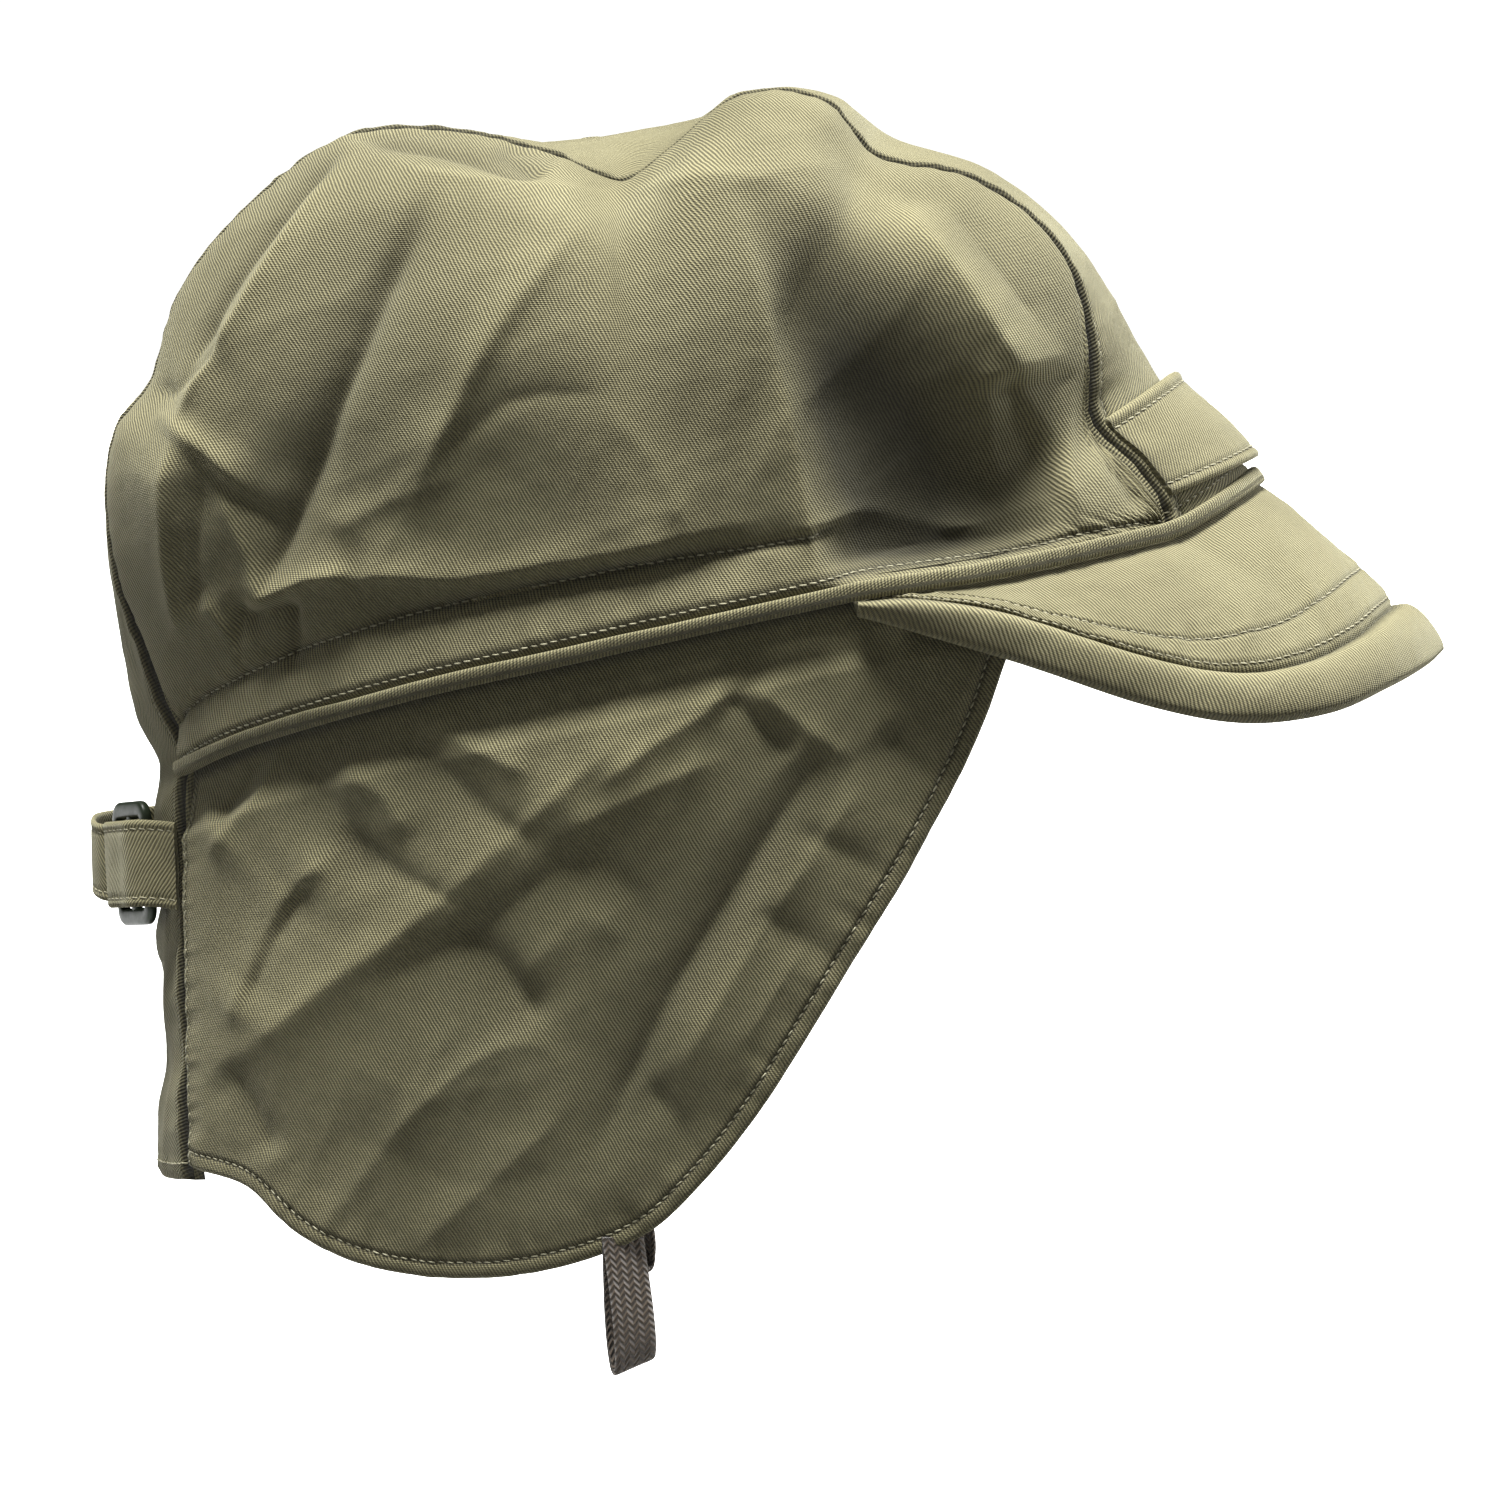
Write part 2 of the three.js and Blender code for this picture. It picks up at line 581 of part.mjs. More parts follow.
const cap = new THREE.Group();
cap.name = 'earflap_cap';
cap.add(
  centrePanel(),
  crownSide('crown_side_right', RIGHT),
  crownSide('crown_side_left', LEFT),
  flap('flap_right', RIGHT),
  flap('flap_left', LEFT),
  rimWelt(),
  peak(),
  browTab(),
  shortStrap(),
  longStrap(),
  buckle(),
  tapeLoop('tape_loop_right', RIGHT),
  tapeLoop('tape_loop_left', LEFT),
);

export default cap;
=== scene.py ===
# The looks of an earflap cap of olive twill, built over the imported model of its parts.
# Shapes are worked out in millimetres, in the cap's own frame: +X to the peak, +Y to the wearer's
# left, +Z up, with the origin in the middle of the rim. They turn to metres when a mesh is made.
import math

import bmesh
import bpy
import numpy as np
from mathutils import Matrix, Vector


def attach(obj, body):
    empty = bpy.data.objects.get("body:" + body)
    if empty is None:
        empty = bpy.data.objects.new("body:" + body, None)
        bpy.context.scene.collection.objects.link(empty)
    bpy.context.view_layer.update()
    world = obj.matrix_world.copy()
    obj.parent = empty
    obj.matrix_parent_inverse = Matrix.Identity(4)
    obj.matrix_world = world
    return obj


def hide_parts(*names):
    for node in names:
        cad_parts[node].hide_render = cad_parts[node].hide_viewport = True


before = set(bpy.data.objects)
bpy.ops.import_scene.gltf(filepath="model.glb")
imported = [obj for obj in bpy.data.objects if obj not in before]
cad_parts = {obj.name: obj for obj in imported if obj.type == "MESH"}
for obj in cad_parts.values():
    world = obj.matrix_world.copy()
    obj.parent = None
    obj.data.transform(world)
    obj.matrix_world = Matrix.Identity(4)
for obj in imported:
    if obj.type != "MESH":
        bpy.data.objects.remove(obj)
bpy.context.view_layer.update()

METRE = 0.001

# Driving sizes, as in the model of the parts
RIM_TILT = math.radians(14.7)
RIM_HALF_WIDTH = 73.0
RIM_FRONT_FOOT = 102.0
RIM_REAR_FOOT = -114.0
PANEL_HALF_WIDTH = 30.0
SEAM_GAP = 0.3
CROWN_WALL = 2.0
FLAP_WALL = 2.0
PEAK_WALL = 2.6
FOOT_FRONT = -3.4
FOOT_REAR = 181.5
NAPE_SEAM_X = -110.3
NAPE_MIDDLE_X = -120.4
NAPE_SEAM_END = 212.6
NAPE_MIDDLE_END = 210.8
CROWN_BULGE = 6.0
SPINE_FRONT = 40.0
SPINE_REAR = -45.0
SPINE_HEIGHT = 15.0
RIGHT = -1
LEFT = 1


def table(text):
    """Named columns of numbers, from lines of text with the names on the first."""
    names, *rows = text.strip().splitlines()
    return dict(zip(names.split(), np.array([row.split() for row in rows], float).T))


def read_folds(text):
    """Folds, one a line: the crest's height, its spread left and right of its path, and the path."""
    folds = []
    for line in text.strip().splitlines():
        sizes, path = line.split(":")
        points = [[float(part) for part in point.split()] for point in path.split(",")]
        folds.append([float(size) for size in sizes.split()] + [points])
    return folds


# The crown's outline seen from the side, as distances from the middle of the rim by angle
OUTLINE = table("""
at middle right left
-4 121 102 102
0 122 103 103
6 117 100 100
13 110.5 96 96
21 111 104 102
31 114 111.5 109
43 114.5 112 110
54 111.5 107 108
61 115.5 114.5 111
70 114.5 112.5 111
77 108 102 109
84 105 95.5 108
91 107 103.5 109
100 114 115.5 113
110 126 127 122
122 131 130 126
132 133 130.5 128
141 131 127 126
147 134 130.5 129
158 131.5 126 125
170 127.5 118 118
180 124.5 114 114
""")
SHOULDER = table("""
at along across
0 2.2 1
40 2.2 1.5
90 2.3 2.3
140 2.4 1.8
180 2.5 1.2
""")
RIM_HEIGHT = table("""
at height
-114 -3
-92 0.5
-55 2
-20 1.2
38 -0.8
68 -4
102 -6
""")
FLAP_EDGE = table("""
at x z
0 -110 -116.5
0.08 -94 -118.5
0.15 -81 -127.5
0.22 -65 -133.2
0.3 -47 -134.6
0.39 -27 -131.8
0.48 -7 -124.3
0.56 6 -112.5
0.64 18.5 -96.5
0.76 36 -68
0.87 51 -43
0.95 63 -19
1 72 8
""")
PEAK = table("""
at foldX foldY foldZ edgeX edgeY edgeZ
-0.13 146 -15 3.5 157 -16 -8
0 148.5 0 4.5 160.5 0 -6
0.13 146 15 3.5 157 16 -8
0.27 140 29 -0.5 149 32 -11
0.42 129 41 -5 136 46 -15.5
0.57 114 50 -6.5 118 56 -17
0.71 94 57.5 -2 98 62 -13.5
0.85 70 63 6 72 66.5 -5
0.94 50 67.5 9.5 51 69.5 1.5
1 38.5 69 8.6 38.5 70 5.6
""")
PEAK_SEAM_SHARE = 0.32
PEAK_CORNER_X = 38.5
PEAK_BAND_SHARE = 0.86

# Where the casing's upper stitching runs, as heights over the rim by place along the cap
CASING = table("""
at height
-114 14
-92 15.5
-55 16.5
-10 15.8
24 14.2
60 13
""")
CASING_END_X = 33.0
LOWER_STITCH = 5.0

# Tab, strap, buckle and tape
TAB_BOTTOM = 2.4
TAB_TOP = 13.6
TAB_STAND_OFF = 2.6
TAB_REACH = 0.985
TAB_WALL = 1.3
TAB_HEM = 2.6
STRAP_WALL = 1.2
STRAP_HEM = 2.0
STRAP_MIDDLE_Z = -52.5
STRAP_LEAN = 7.0
LONG_STRAP_HIGH = 17.0
BUCKLE_X = -123.5
BUCKLE_Y = -17.5
BUCKLE_HEADING = 128.0
BUCKLE_WIDE = 27.0
BUCKLE_LONG = 16.0
BUCKLE_THICK = 2.4
BUCKLE_BAR = 2.4
BUCKLE_END = 1.9
BUCKLE_CORNER = 2.2
BUCKLE_WINDOW = 19.4
TAPE_WIDE = 9.2
TAPE_WALL = 1.4
TAPE_DROP = 25.0
TAPE_OPEN = 3.4
TAPE_TURN = 28.0
TAPE_LEAN = 0.08
TAPE_X = {RIGHT: -10.5, LEFT: -25.5}

# Folds of the cloth, as the cap is seen from its side, with their paths in X and Z
CROWN_FOLDS_RIGHT = read_folds("""
1.5 6 4: -68 102, -60 97, -52 93, -44 92, -30 91, 0 91, 14 92, 26 90
-3.4 6 5: -76 106, -64 104, -53 101.5, -44 99, -34 95, -24 92
-2.2 4 3: -40 103, -34 99, -28 94
3.6 6 8: -66 103, -76 86, -88 66, -100 48, -106 38
-4.6 9 7: -70 106, -85 86, -95 70, -105 50
-4.4 7 10: -48 93, -53 80, -58 70, -63 58, -68 48, -72 38, -78 26, -84 14, -90 2
1.7 3 9: -18 84, -28 70, -34 62, -38 55, -42 47, -46 40, -52 30
-0.8 5 4: -50 35, -38 44.5, -32 49, -24 50.5, -10 50
0.7 7 7: -14 50, -2 36, 6 20
0.9 8 6: -74 20, -58 28, -38 36
-2.2 5 5: -116 50, -106 50, -100 54, -90 61
2.8 7 4: -118 47, -108 44, -103 41, -96 37, -86 28
-1.6 5 5: -102 38, -95 33, -89 28, -80 21
2.2 4 7: -104 42, -106 28, -108 14, -108 -4
-1.8 6 5: -97 36, -101 18, -103 0
1.8 6 6: -95 32, -90 18, -86 4
2.6 6 3: -93 4, -84 8.5, -76 12, -64 14
-1.8 3 3.5: -93 2, -86 5, -78 6
-2 3 4: -80 9, -80 0, -83 -9
1.6 5 5: -102 9, -96 0, -91 -11
-2 4 4: -91 9, -94 -2, -92 -13
2.4 9 3.4: -80 10, -60 13, -44 12.5, -28 15, -10 18, 6 22, 22 26
-2.4 3 1.8: -78 0, -50 6, -30 10, -10 14, 6 18, 24 22
3 12 10: 34 103, 43 92, 51 80, 59 69, 67 58, 75 48
-1.8 4 4: 39 103, 42 94, 48 86
-1.6 9 7: 52 92, 62 79, 70 69, 77 61
1.6 6 4: 58 52, 68 55, 78 58, 90 61
-1.4 4 6: 62 49, 74 52, 88 55
0.8 6 7: 62 60, 66 47, 69 30
-1.8 6 6: 67 60, 72 44, 76 36, 81 22
2.8 6 3.5: 84 58, 81 44, 80.5 34, 83 22
-1.8 4 4: 86 47, 91 35, 96 24
2 8 5: 22 22, 40 25, 54 26, 70 24
""")
CROWN_FOLDS_LEFT = read_folds("""
2.4 14 7: -62 94, -40 90, -10 90, 24 88
-3.4 8 12: -46 98, -64 56, -82 10
2.2 7 12: -20 86, -32 58, -48 26
4.4 14 7: 38 100, 50 72, 64 52
-2.4 8 8: 52 70, 68 44, 78 18
2.8 6 6: -96 44, -98 22, -96 -4
-2.8 6 3: -58 4, -20 13, 12 19
3 8 3: -88 8, -66 14, -44 20
1 9 7: -60 38, -40 44, -12 40, 10 46
3 8 3: 62 52, 76 54, 88 58
""")
FLAP_FOLDS_RIGHT = read_folds("""
2.7 12 12: -104 -98, -90 -87, -80 -79, -70 -71, -60 -64, -50 -56, -40 -47, -30 -38, -20 -29, -10 -20, 0 -8
-1.6 7 8: -68 -75, -50 -65, -40 -60, -30 -52, -22 -46, -14 -45, -7 -52, 0 -66
0.9 9 9: -34 -72, -18 -56, -8 -62
-1.9 5 5: -46 -57, -35 -67, -25 -80
1.4 7 6: -26 -42, -12 -34, -2 -29, 14 -22
-1.9 5 6: -58 -19, -44 -29, -36 -36, -24 -43
1.6 6 4: -56 -14, -40 -22, -26 -28
-1.4 4 4: -72 -39, -56 -49, -42 -55
2.4 6 7: -85 -17, -87 -28, -91 -36, -103 -50
-2.4 5 5: -90 -18, -94 -32, -102 -42
2.2 6 6: -68 -42, -83 -56, -88 -66, -98 -86
-2.4 5 5: -74 -48, -86 -64, -94 -82
-1.4 6 6: -80 -26, -68 -38, -62 -54
1.2 5 5: -72 -26, -60 -32, -54 -42
-3 9 8: 44 -8, 38 -15, 28 -28, 20 -40, 10 -56, 0 -72, -6 -85, -12 -97, -20 -114
1.6 9 9: 44 -22, 26 -48, 10 -74, -2 -96
-2.2 6 6: 42 -17, 50 -24, 60 -34
1.9 6 7: 18 -5, 8 -14, -2 -20, -16 -31
-2 4 5: 10 -9, 18 -16, 26 -24
1.8 5 5: 15 -7, 26 -16, 38 -25
-1.3 4 4: 17 -54, 29 -62, 40 -69
-1.3 4 4: -6 -90, 2 -100, 6 -112
-1.2 4 4: 24 -37, 38 -44, 49 -53
-1.5 5 6: -99 -91, -92 -100, -86 -112
0.5 12 12: -80 -86, -50 -96, -20 -88
-0.5 10 10: -74 -102, -46 -114, -18 -110
""")
FLAP_FOLDS_LEFT = read_folds("""
5 16 7: -102 -94, -70 -72, -38 -54, -10 -34, 8 -20
-5 12 6: 34 -20, 10 -54, -16 -98
3 10 8: 36 -40, 14 -72, -4 -98
-3.2 8 5: -80 -38, -88 -60, -98 -84
1.4 8 6: -66 -30, -48 -42, -30 -52
1.6 9 6: -66 -90, -46 -96, -26 -100
1.8 6 9: 14 -8, 0 -18, -20 -32
""")

# The hollow behind the peak's corners: where it starts and ends at each height, and its depth
HOLLOW = table("""
at start end
18 30 90
34 27 84
48 24 74
62 20 64
76 16 52
96 9 34
""")
HOLLOW_DEPTH = {RIGHT: 11.5, LEFT: 6.0}

# Painted light and shade on folds: how much paler their crests are than the cloth beside them, and their
# valleys darker
FOLD_PAINTED_SHADE = 0.36
# How round the crests of folds are, how sharp on the crown and the flaps, and how wide when sharp
CREST = 0.8
CROWN_CREST = 0.42
FLAP_CREST = 0.16
CREST_WIDTH = 0.3
# How full the crown is, how deep its waist, and how the casing is drawn in, rises and climbs
SHOULDER_FULLNESS = 4.5
WAIST_DEPTH = 1.6
CASING_PULL = 2.5
CASING_RISE = 1.6
CASING_CLIMB = 3.0
# How far the panel's inner edges reach under the pieces sewn to it, and sink as a share of that
TUCK_WIDTH = 2.8
TUCK_DEPTH = 0.5

# Stitches, and how far their rows lie from the edges, seams and folds beside them
STITCH_PITCH = 2.1
STITCH_LENGTH = 1.55
STITCH_RADIUS = 0.19
STITCH_SIDES = 6
PANEL_STITCH = 2.4
FLAP_STITCH = 2.2
HEM_STITCH = 3.5
PEAK_STITCHES = (2.4, 11.0)

# Colours of the cloth: where it is dirty, as it mostly is, and where it has faded
OLIVE_DARK = (0.152, 0.139, 0.077)
OLIVE_MID = (0.188, 0.172, 0.099)
OLIVE_LIGHT = (0.22, 0.204, 0.122)
CLOTH_ROUGHNESS = 0.71
CLOTH_SHEEN = 0.28
# Weaves: the spacing of the ribs in metres, their heading in degrees and their height in metres
CLOTH_WEAVE = (0.00066, 32, 0.00014)
STRAP_WEAVE = (0.00075, -35, 0.0001)
WELT_WEAVE = (0.0007, 12, 0.00015)
PEAK_WEAVE = (0.00062, 28, 0.0001)

# Camera at the photograph's place: turned and raised by these angles, seeing the origin off centre
CAMERA_AZIMUTH = math.radians(6)
CAMERA_ELEVATION = math.radians(5)
CAMERA_DISTANCE = 1100.0
PHOTO_PIXELS = 1500
PIXELS_PER_MM = 4.6
ORIGIN_PIXEL = (708, 621)
SENSOR = 36.0
# Lights by heading, height over the floor and width in degrees, and strength
SUNS = {"key": (-102, 78.5, 22, 10.4), "front": (28, 26, 20, 2.6)}
# The sky's brightness by height, from straight down at 0 to straight up at 1
SKY = [(0.0, 0.05), (0.46, 0.06), (0.488, 1.1), (0.545, 1.1), (0.57, 0.12), (1.0, 0.2)]
FLOOR_HALF = 20.0
FLOOR_Z = -0.32
GAMMA = 0.88


def curve(rows, key):
    """A smooth curve through one column of a table, read by the column named at."""
    at = rows["at"]
    values = rows[key]
    last = len(at) - 1
    before = np.maximum(np.arange(len(at)) - 1, 0)
    after = np.minimum(np.arange(len(at)) + 1, last)
    slope = (values[after] - values[before]) / (at[after] - at[before])

    def read(place):
        place = np.asarray(place, float)
        i = np.clip(np.searchsorted(at, place, side="left") - 1, 0, last - 1)
        span = at[i + 1] - at[i]
        t = np.clip((place - at[i]) / span, 0, 1)
        keep = (1 + 2 * t) * (1 - t) ** 2
        bend = t * (1 - t) ** 2 * slope[i] - t ** 2 * (1 - t) * slope[i + 1]
        return keep * values[i] + (1 - keep) * values[i + 1] + span * bend
    return read


middle_radius = curve(OUTLINE, "middle")
seam_radii = {RIGHT: curve(OUTLINE, "right"), LEFT: curve(OUTLINE, "left")}
shoulder_along = curve(SHOULDER, "along")
shoulder_across = curve(SHOULDER, "across")
rim_height = curve(RIM_HEIGHT, "height")
casing_height = curve(CASING, "height")
hollow_start = curve(HOLLOW, "start")
hollow_end = curve(HOLLOW, "end")
flap_edge_x = curve(FLAP_EDGE, "x")
flap_edge_z = curve(FLAP_EDGE, "z")


def lerp(a, b, t):
    return a + (b - a) * t


def smoothstep(low, high, value):
    t = np.clip((value - low) / (high - low), 0, 1)
    return t * t * (3 - 2 * t)


def stack(x, y, z):
    return np.stack(np.broadcast_arrays(x, y, z), axis=-1).astype(float)


def unit(vectors):
    length = np.linalg.norm(vectors, axis=-1, keepdims=True)
    return vectors / np.maximum(length, 1e-9)


def upright(x, y, z):
    """From the rim's tilted frame to the cap's own."""
    cos, sin = math.cos(RIM_TILT), math.sin(RIM_TILT)
    return stack(x * cos - z * sin, y, x * sin + z * cos)


def outward_level(points):
    spine = np.clip(points[..., 0], SPINE_REAR, SPINE_FRONT)
    return unit(stack(points[..., 0] - spine, points[..., 1], 0 * spine))


def outward(points):
    """The way out of the head at each point, which the walls are thickened against."""
    cos, sin = math.cos(RIM_TILT), math.sin(RIM_TILT)
    x = points[..., 0] * cos + points[..., 2] * sin
    z = -points[..., 0] * sin + points[..., 2] * cos
    spine = np.clip(x, SPINE_REAR, SPINE_FRONT)
    away = unit(stack(x - spine, points[..., 1], z - SPINE_HEIGHT))
    away = upright(away[..., 0], away[..., 1], away[..., 2])
    hanging = np.clip((-20 - points[..., 2]) / 30, 0, 1)[..., None]
    return unit(away * (1 - hanging) + outward_level(points) * hanging)


def seam_radius(side, angle):
    nape = NAPE_SEAM_X / np.cos(np.radians(np.maximum(angle, 170) + math.degrees(RIM_TILT)))
    return np.where(angle <= 180, seam_radii[side](np.minimum(angle, 180)), nape)


def panel_middle(angle):
    nape = NAPE_MIDDLE_X / np.cos(np.radians(np.maximum(angle, 170) + math.degrees(RIM_TILT)))
    return np.where(angle <= 180, middle_radius(np.minimum(angle, 180)), nape)


def side_reach(side, x, z):
    """How far the crown's side stands from the middle plane, at a place in the rim's frame."""
    turned = np.degrees(np.arctan2(z, x))
    angle = np.clip(np.where(turned < -90, turned + 360, turned), FOOT_FRONT, FOOT_REAR)
    share = np.minimum(np.hypot(x, z) / seam_radius(side, angle), 1)
    rounding = (1 - share ** shoulder_along(angle)) ** (1 / shoulder_across(angle))
    seam = PANEL_HALF_WIDTH + SEAM_GAP
    arch = np.sin(np.radians(np.clip(angle, 0, 180)))
    bulge = CROWN_BULGE * arch * 4 * share * (1 - share)
    return seam + (RIM_HALF_WIDTH - seam) * rounding + bulge


# Cloth relief

def lattice(x, y, seed):
    """Smooth random relief between -1 and 1, one bump for each unit of x and y."""
    size = 64
    heights = np.random.default_rng(seed).uniform(-1, 1, (size, size))
    xi = np.floor(x).astype(int)
    yi = np.floor(y).astype(int)
    fx = x - xi
    fy = y - yi
    sx = fx ** 3 * (fx * (fx * 6 - 15) + 10)
    sy = fy ** 3 * (fy * (fy * 6 - 15) + 10)
    low = lerp(heights[xi % size, yi % size], heights[(xi + 1) % size, yi % size], sx)
    high = lerp(heights[xi % size, (yi + 1) % size], heights[(xi + 1) % size, (yi + 1) % size], sx)
    return lerp(low, high, sy)


def creases(x, y, heading, long, wide, seed):
    """Ridged relief of long narrow creases that run along a heading in degrees."""
    turn = math.radians(heading)
    along = x * math.cos(turn) + y * math.sin(turn)
    over = y * math.cos(turn) - x * math.sin(turn)
    bend = 0.5 * lattice(along / long, over / long, seed + 7)
    ridge = 1 - 2 * np.abs(lattice(along / long, over / wide + bend, seed))
    return ridge * (0.5 + 0.5 * lattice(along / long + 9, over / long + 3, seed + 3))


def path_distance(x, z, path):
    """Signed distance from each place to a path, and how far along the path it is, 0 to 1."""
    points = np.array(path, float)
    steps = np.diff(points, axis=0)
    lengths = np.hypot(steps[:, 0], steps[:, 1])
    starts = np.concatenate([[0], np.cumsum(lengths)])
    best = np.full(x.shape, 1e9)
    signed = np.zeros(x.shape)
    place = np.zeros(x.shape)
    for i, (dx, dz) in enumerate(steps):
        px = x - points[i, 0]
        pz = z - points[i, 1]
        t = np.clip((px * dx + pz * dz) / lengths[i] ** 2, 0, 1)
        gap = np.hypot(px - t * dx, pz - t * dz)
        side = np.sign(dx * pz - dz * px)
        nearer = gap < best
        best = np.where(nearer, gap, best)
        signed = np.where(nearer, gap * side, signed)
        place = np.where(nearer, (starts[i] + t * lengths[i]) / starts[-1], place)
    return signed, place


def fold_relief(x, z, folds, crest_share):
    """The sum of all folds at places seen from the side. The first width is on a path's left."""
    relief = np.zeros(x.shape)
    for height, left, right, path in folds:
        signed, place = path_distance(x, z, path)
        width = np.where(signed > 0, left, right)
        reach = np.sqrt(signed ** 2 + CREST ** 2) - CREST
        crisp = crest_share * np.clip((18 - width) / 8, 0.15, 1)
        crest = lerp(np.exp(-reach / width), np.exp(-reach / (CREST_WIDTH * width)), crisp)
        ends = smoothstep(0, 0.24, place) * smoothstep(0, 0.24, 1 - place)
        relief += height * crest * ends
    return relief


def front_hollow(x, z):
    """The share of its depth that the crown has sunk in behind the peak's corner."""
    across = (x - hollow_start(z)) / (hollow_end(z) - hollow_start(z))
    bowl = np.sin(math.pi * np.clip(across, 0, 1) ** 0.66) ** 1.6
    return bowl * smoothstep(96, 44, z)


def groove(distance, width):
    return np.exp(-(distance / width) ** 2)


def pucker(along, distance, seed, reach=4.0):
    """Small ripples that cross a line of stitching and fade out beside it."""
    pitch = 3.4
    wobble = lattice(along / pitch, 0 * along + 0.5, seed)
    wobble = wobble + 0.5 * lattice(along / (pitch / 2), 0 * along, seed + 1)
    return wobble * groove(distance, reach)


# Meshes

def grid_normals(points, away):
    """Unit normals of a grid of points, on the side that away points to."""
    across = np.gradient(points, axis=1)
    down = np.gradient(points, axis=0)
    normals = np.cross(across, down)
    flip = np.sign(np.sum(normals * away, axis=-1, keepdims=True))
    return unit(normals * np.where(flip == 0, 1, flip))


def column_lengths(points):
    """Arc length down each column of a grid, starting at its first row."""
    steps = np.linalg.norm(np.diff(points, axis=0), axis=-1)
    return np.concatenate([np.zeros((1, points.shape[1])), np.cumsum(steps, axis=0)])


def row_lengths(points):
    return column_lengths(points.transpose(1, 0, 2)).T


def run_length(line):
    """Arc length along a line of points, starting at 0."""
    return column_lengths(line[:, None])[:, 0]


def read_along(line, run, places):
    """Points of a line at places given as lengths along it."""
    return np.stack([np.interp(places, run, column) for column in line.T], -1)


def shares(columns, rows):
    """Shares of the way along a grid's rows and down its columns."""
    return np.linspace(0, 1, columns + 1)[None, :], np.linspace(0, 1, rows + 1)[:, None]


def squared_circle(count, wide, tall):
    """Points round a circle that powers of its width and height draw out to its corners."""
    turns = np.linspace(0, 2 * math.pi, count, endpoint=False)
    c, s = np.cos(turns), np.sin(turns)
    return np.stack([np.sign(c) * np.abs(c) ** wide, np.sign(s) * np.abs(s) ** tall], -1)


def quads(at):
    """Faces between the neighbours in a grid of point numbers."""
    return np.stack([at[:-1, :-1], at[:-1, 1:], at[1:, 1:], at[1:, :-1]], -1).reshape(-1, 4).tolist()


def ring_numbers(rows, columns):
    """A grid of point numbers whose last column is its first again."""
    at = np.arange(rows * columns).reshape(rows, columns)
    return np.concatenate([at, at[:, :1]], axis=1)


def tube_faces(at):
    """Faces of a tube with a ring of point numbers in each row, closed at both ends."""
    return quads(at) + [at[0, :-1][::-1].tolist(), at[-1, :-1].tolist()]


def turned_out(faces, normals, out):
    """The faces, turned over if their normals point inwards on the whole."""
    inwards = np.mean(np.sum(normals * out, axis=-1)) < 0
    return [face[::-1] for face in faces] if inwards else faces


def add_mesh(name, points, faces, uv, material, sharp, shade=1.0):
    """A smooth mesh with cloth coordinates in metres and a painted shade that darkens seams and creases.
    """
    mesh = bpy.data.meshes.new(name)
    mesh.from_pydata((points * METRE).tolist(), [], faces)
    tone = mesh.attributes.new("shade", "FLOAT", "POINT")
    tone.data.foreach_set("value", (np.zeros(len(points)) + shade).astype(np.float32))
    layer = mesh.uv_layers.new(name="cloth")
    corners = np.zeros(len(mesh.loops), np.int32)
    mesh.loops.foreach_get("vertex_index", corners)
    layer.data.foreach_set("uv", (uv[corners] * METRE).astype(np.float32).ravel())
    mesh.shade_smooth()
    mesh.set_sharp_from_angle(angle=math.radians(sharp))
    mesh.materials.append(material)
    mesh.validate()
    piece = bpy.data.objects.new(name, mesh)
    bpy.context.scene.collection.objects.link(piece)
    return piece


def shell(name, outer, inner, uv, material, shade, coarse=4, sharp=55):
    """A closed wall from two grids. The hidden inner grid keeps one point in each few."""
    rows, columns = outer.shape[:2]
    inner = inner[::coarse, ::coarse]
    at = np.arange(rows * columns).reshape(rows, columns)
    under = rows * columns + np.arange(inner[..., 0].size).reshape(inner.shape[:2])

    def both(grid, hidden):
        size = grid.shape[2:]
        return np.concatenate([grid.reshape(-1, *size), hidden.reshape(-1, *size)])

    faces = quads(at) + quads(under.T)
    walls = [(at[0], under[0], 1), (at[-1], under[-1], -1),
             (at[:, 0], under[:, 0], -1), (at[:, -1], under[:, -1], 1)]
    for edge, hidden, way in walls:
        for j in range(len(hidden) - 1):
            fine = edge[j * coarse:(j + 1) * coarse + 1].tolist()
            face = fine[::-1] + hidden[j:j + 2].tolist()
            faces.append(face[::way])
    out = outer - np.repeat(np.repeat(inner, coarse, 0), coarse, 1)[:rows, :columns]
    normal = np.cross(np.gradient(outer, axis=1), np.gradient(outer, axis=0))
    faces = turned_out(faces, unit(normal), unit(out))
    uv = both(uv, uv[::coarse, ::coarse])
    tones = both(shade, shade[::coarse, ::coarse])
    return add_mesh(name, both(outer, inner), faces, uv, material, sharp, tones)


def loft(name, loops, material):
    """A closed tube through loops of points, with an end face on its first and last loop."""
    count, around = loops.shape[:2]
    girth = row_lengths(np.concatenate([loops, loops[:, :1]], axis=1))[:, 1:]
    run = run_length(loops.mean(axis=1))
    uv = np.stack([np.repeat(run[:, None], around, 1), girth - girth[:, :1]], -1)
    first = loops[count // 2]
    side = np.cross(np.roll(first, -1, axis=0) - first, loops[count // 2 + 1] - first)
    faces = turned_out(tube_faces(ring_numbers(count, around)), side, first - first.mean(axis=0))
    return add_mesh(name, loops.reshape(-1, 3), faces, uv.reshape(-1, 2), material, 50)


# Stitches

stitch_parts = {}


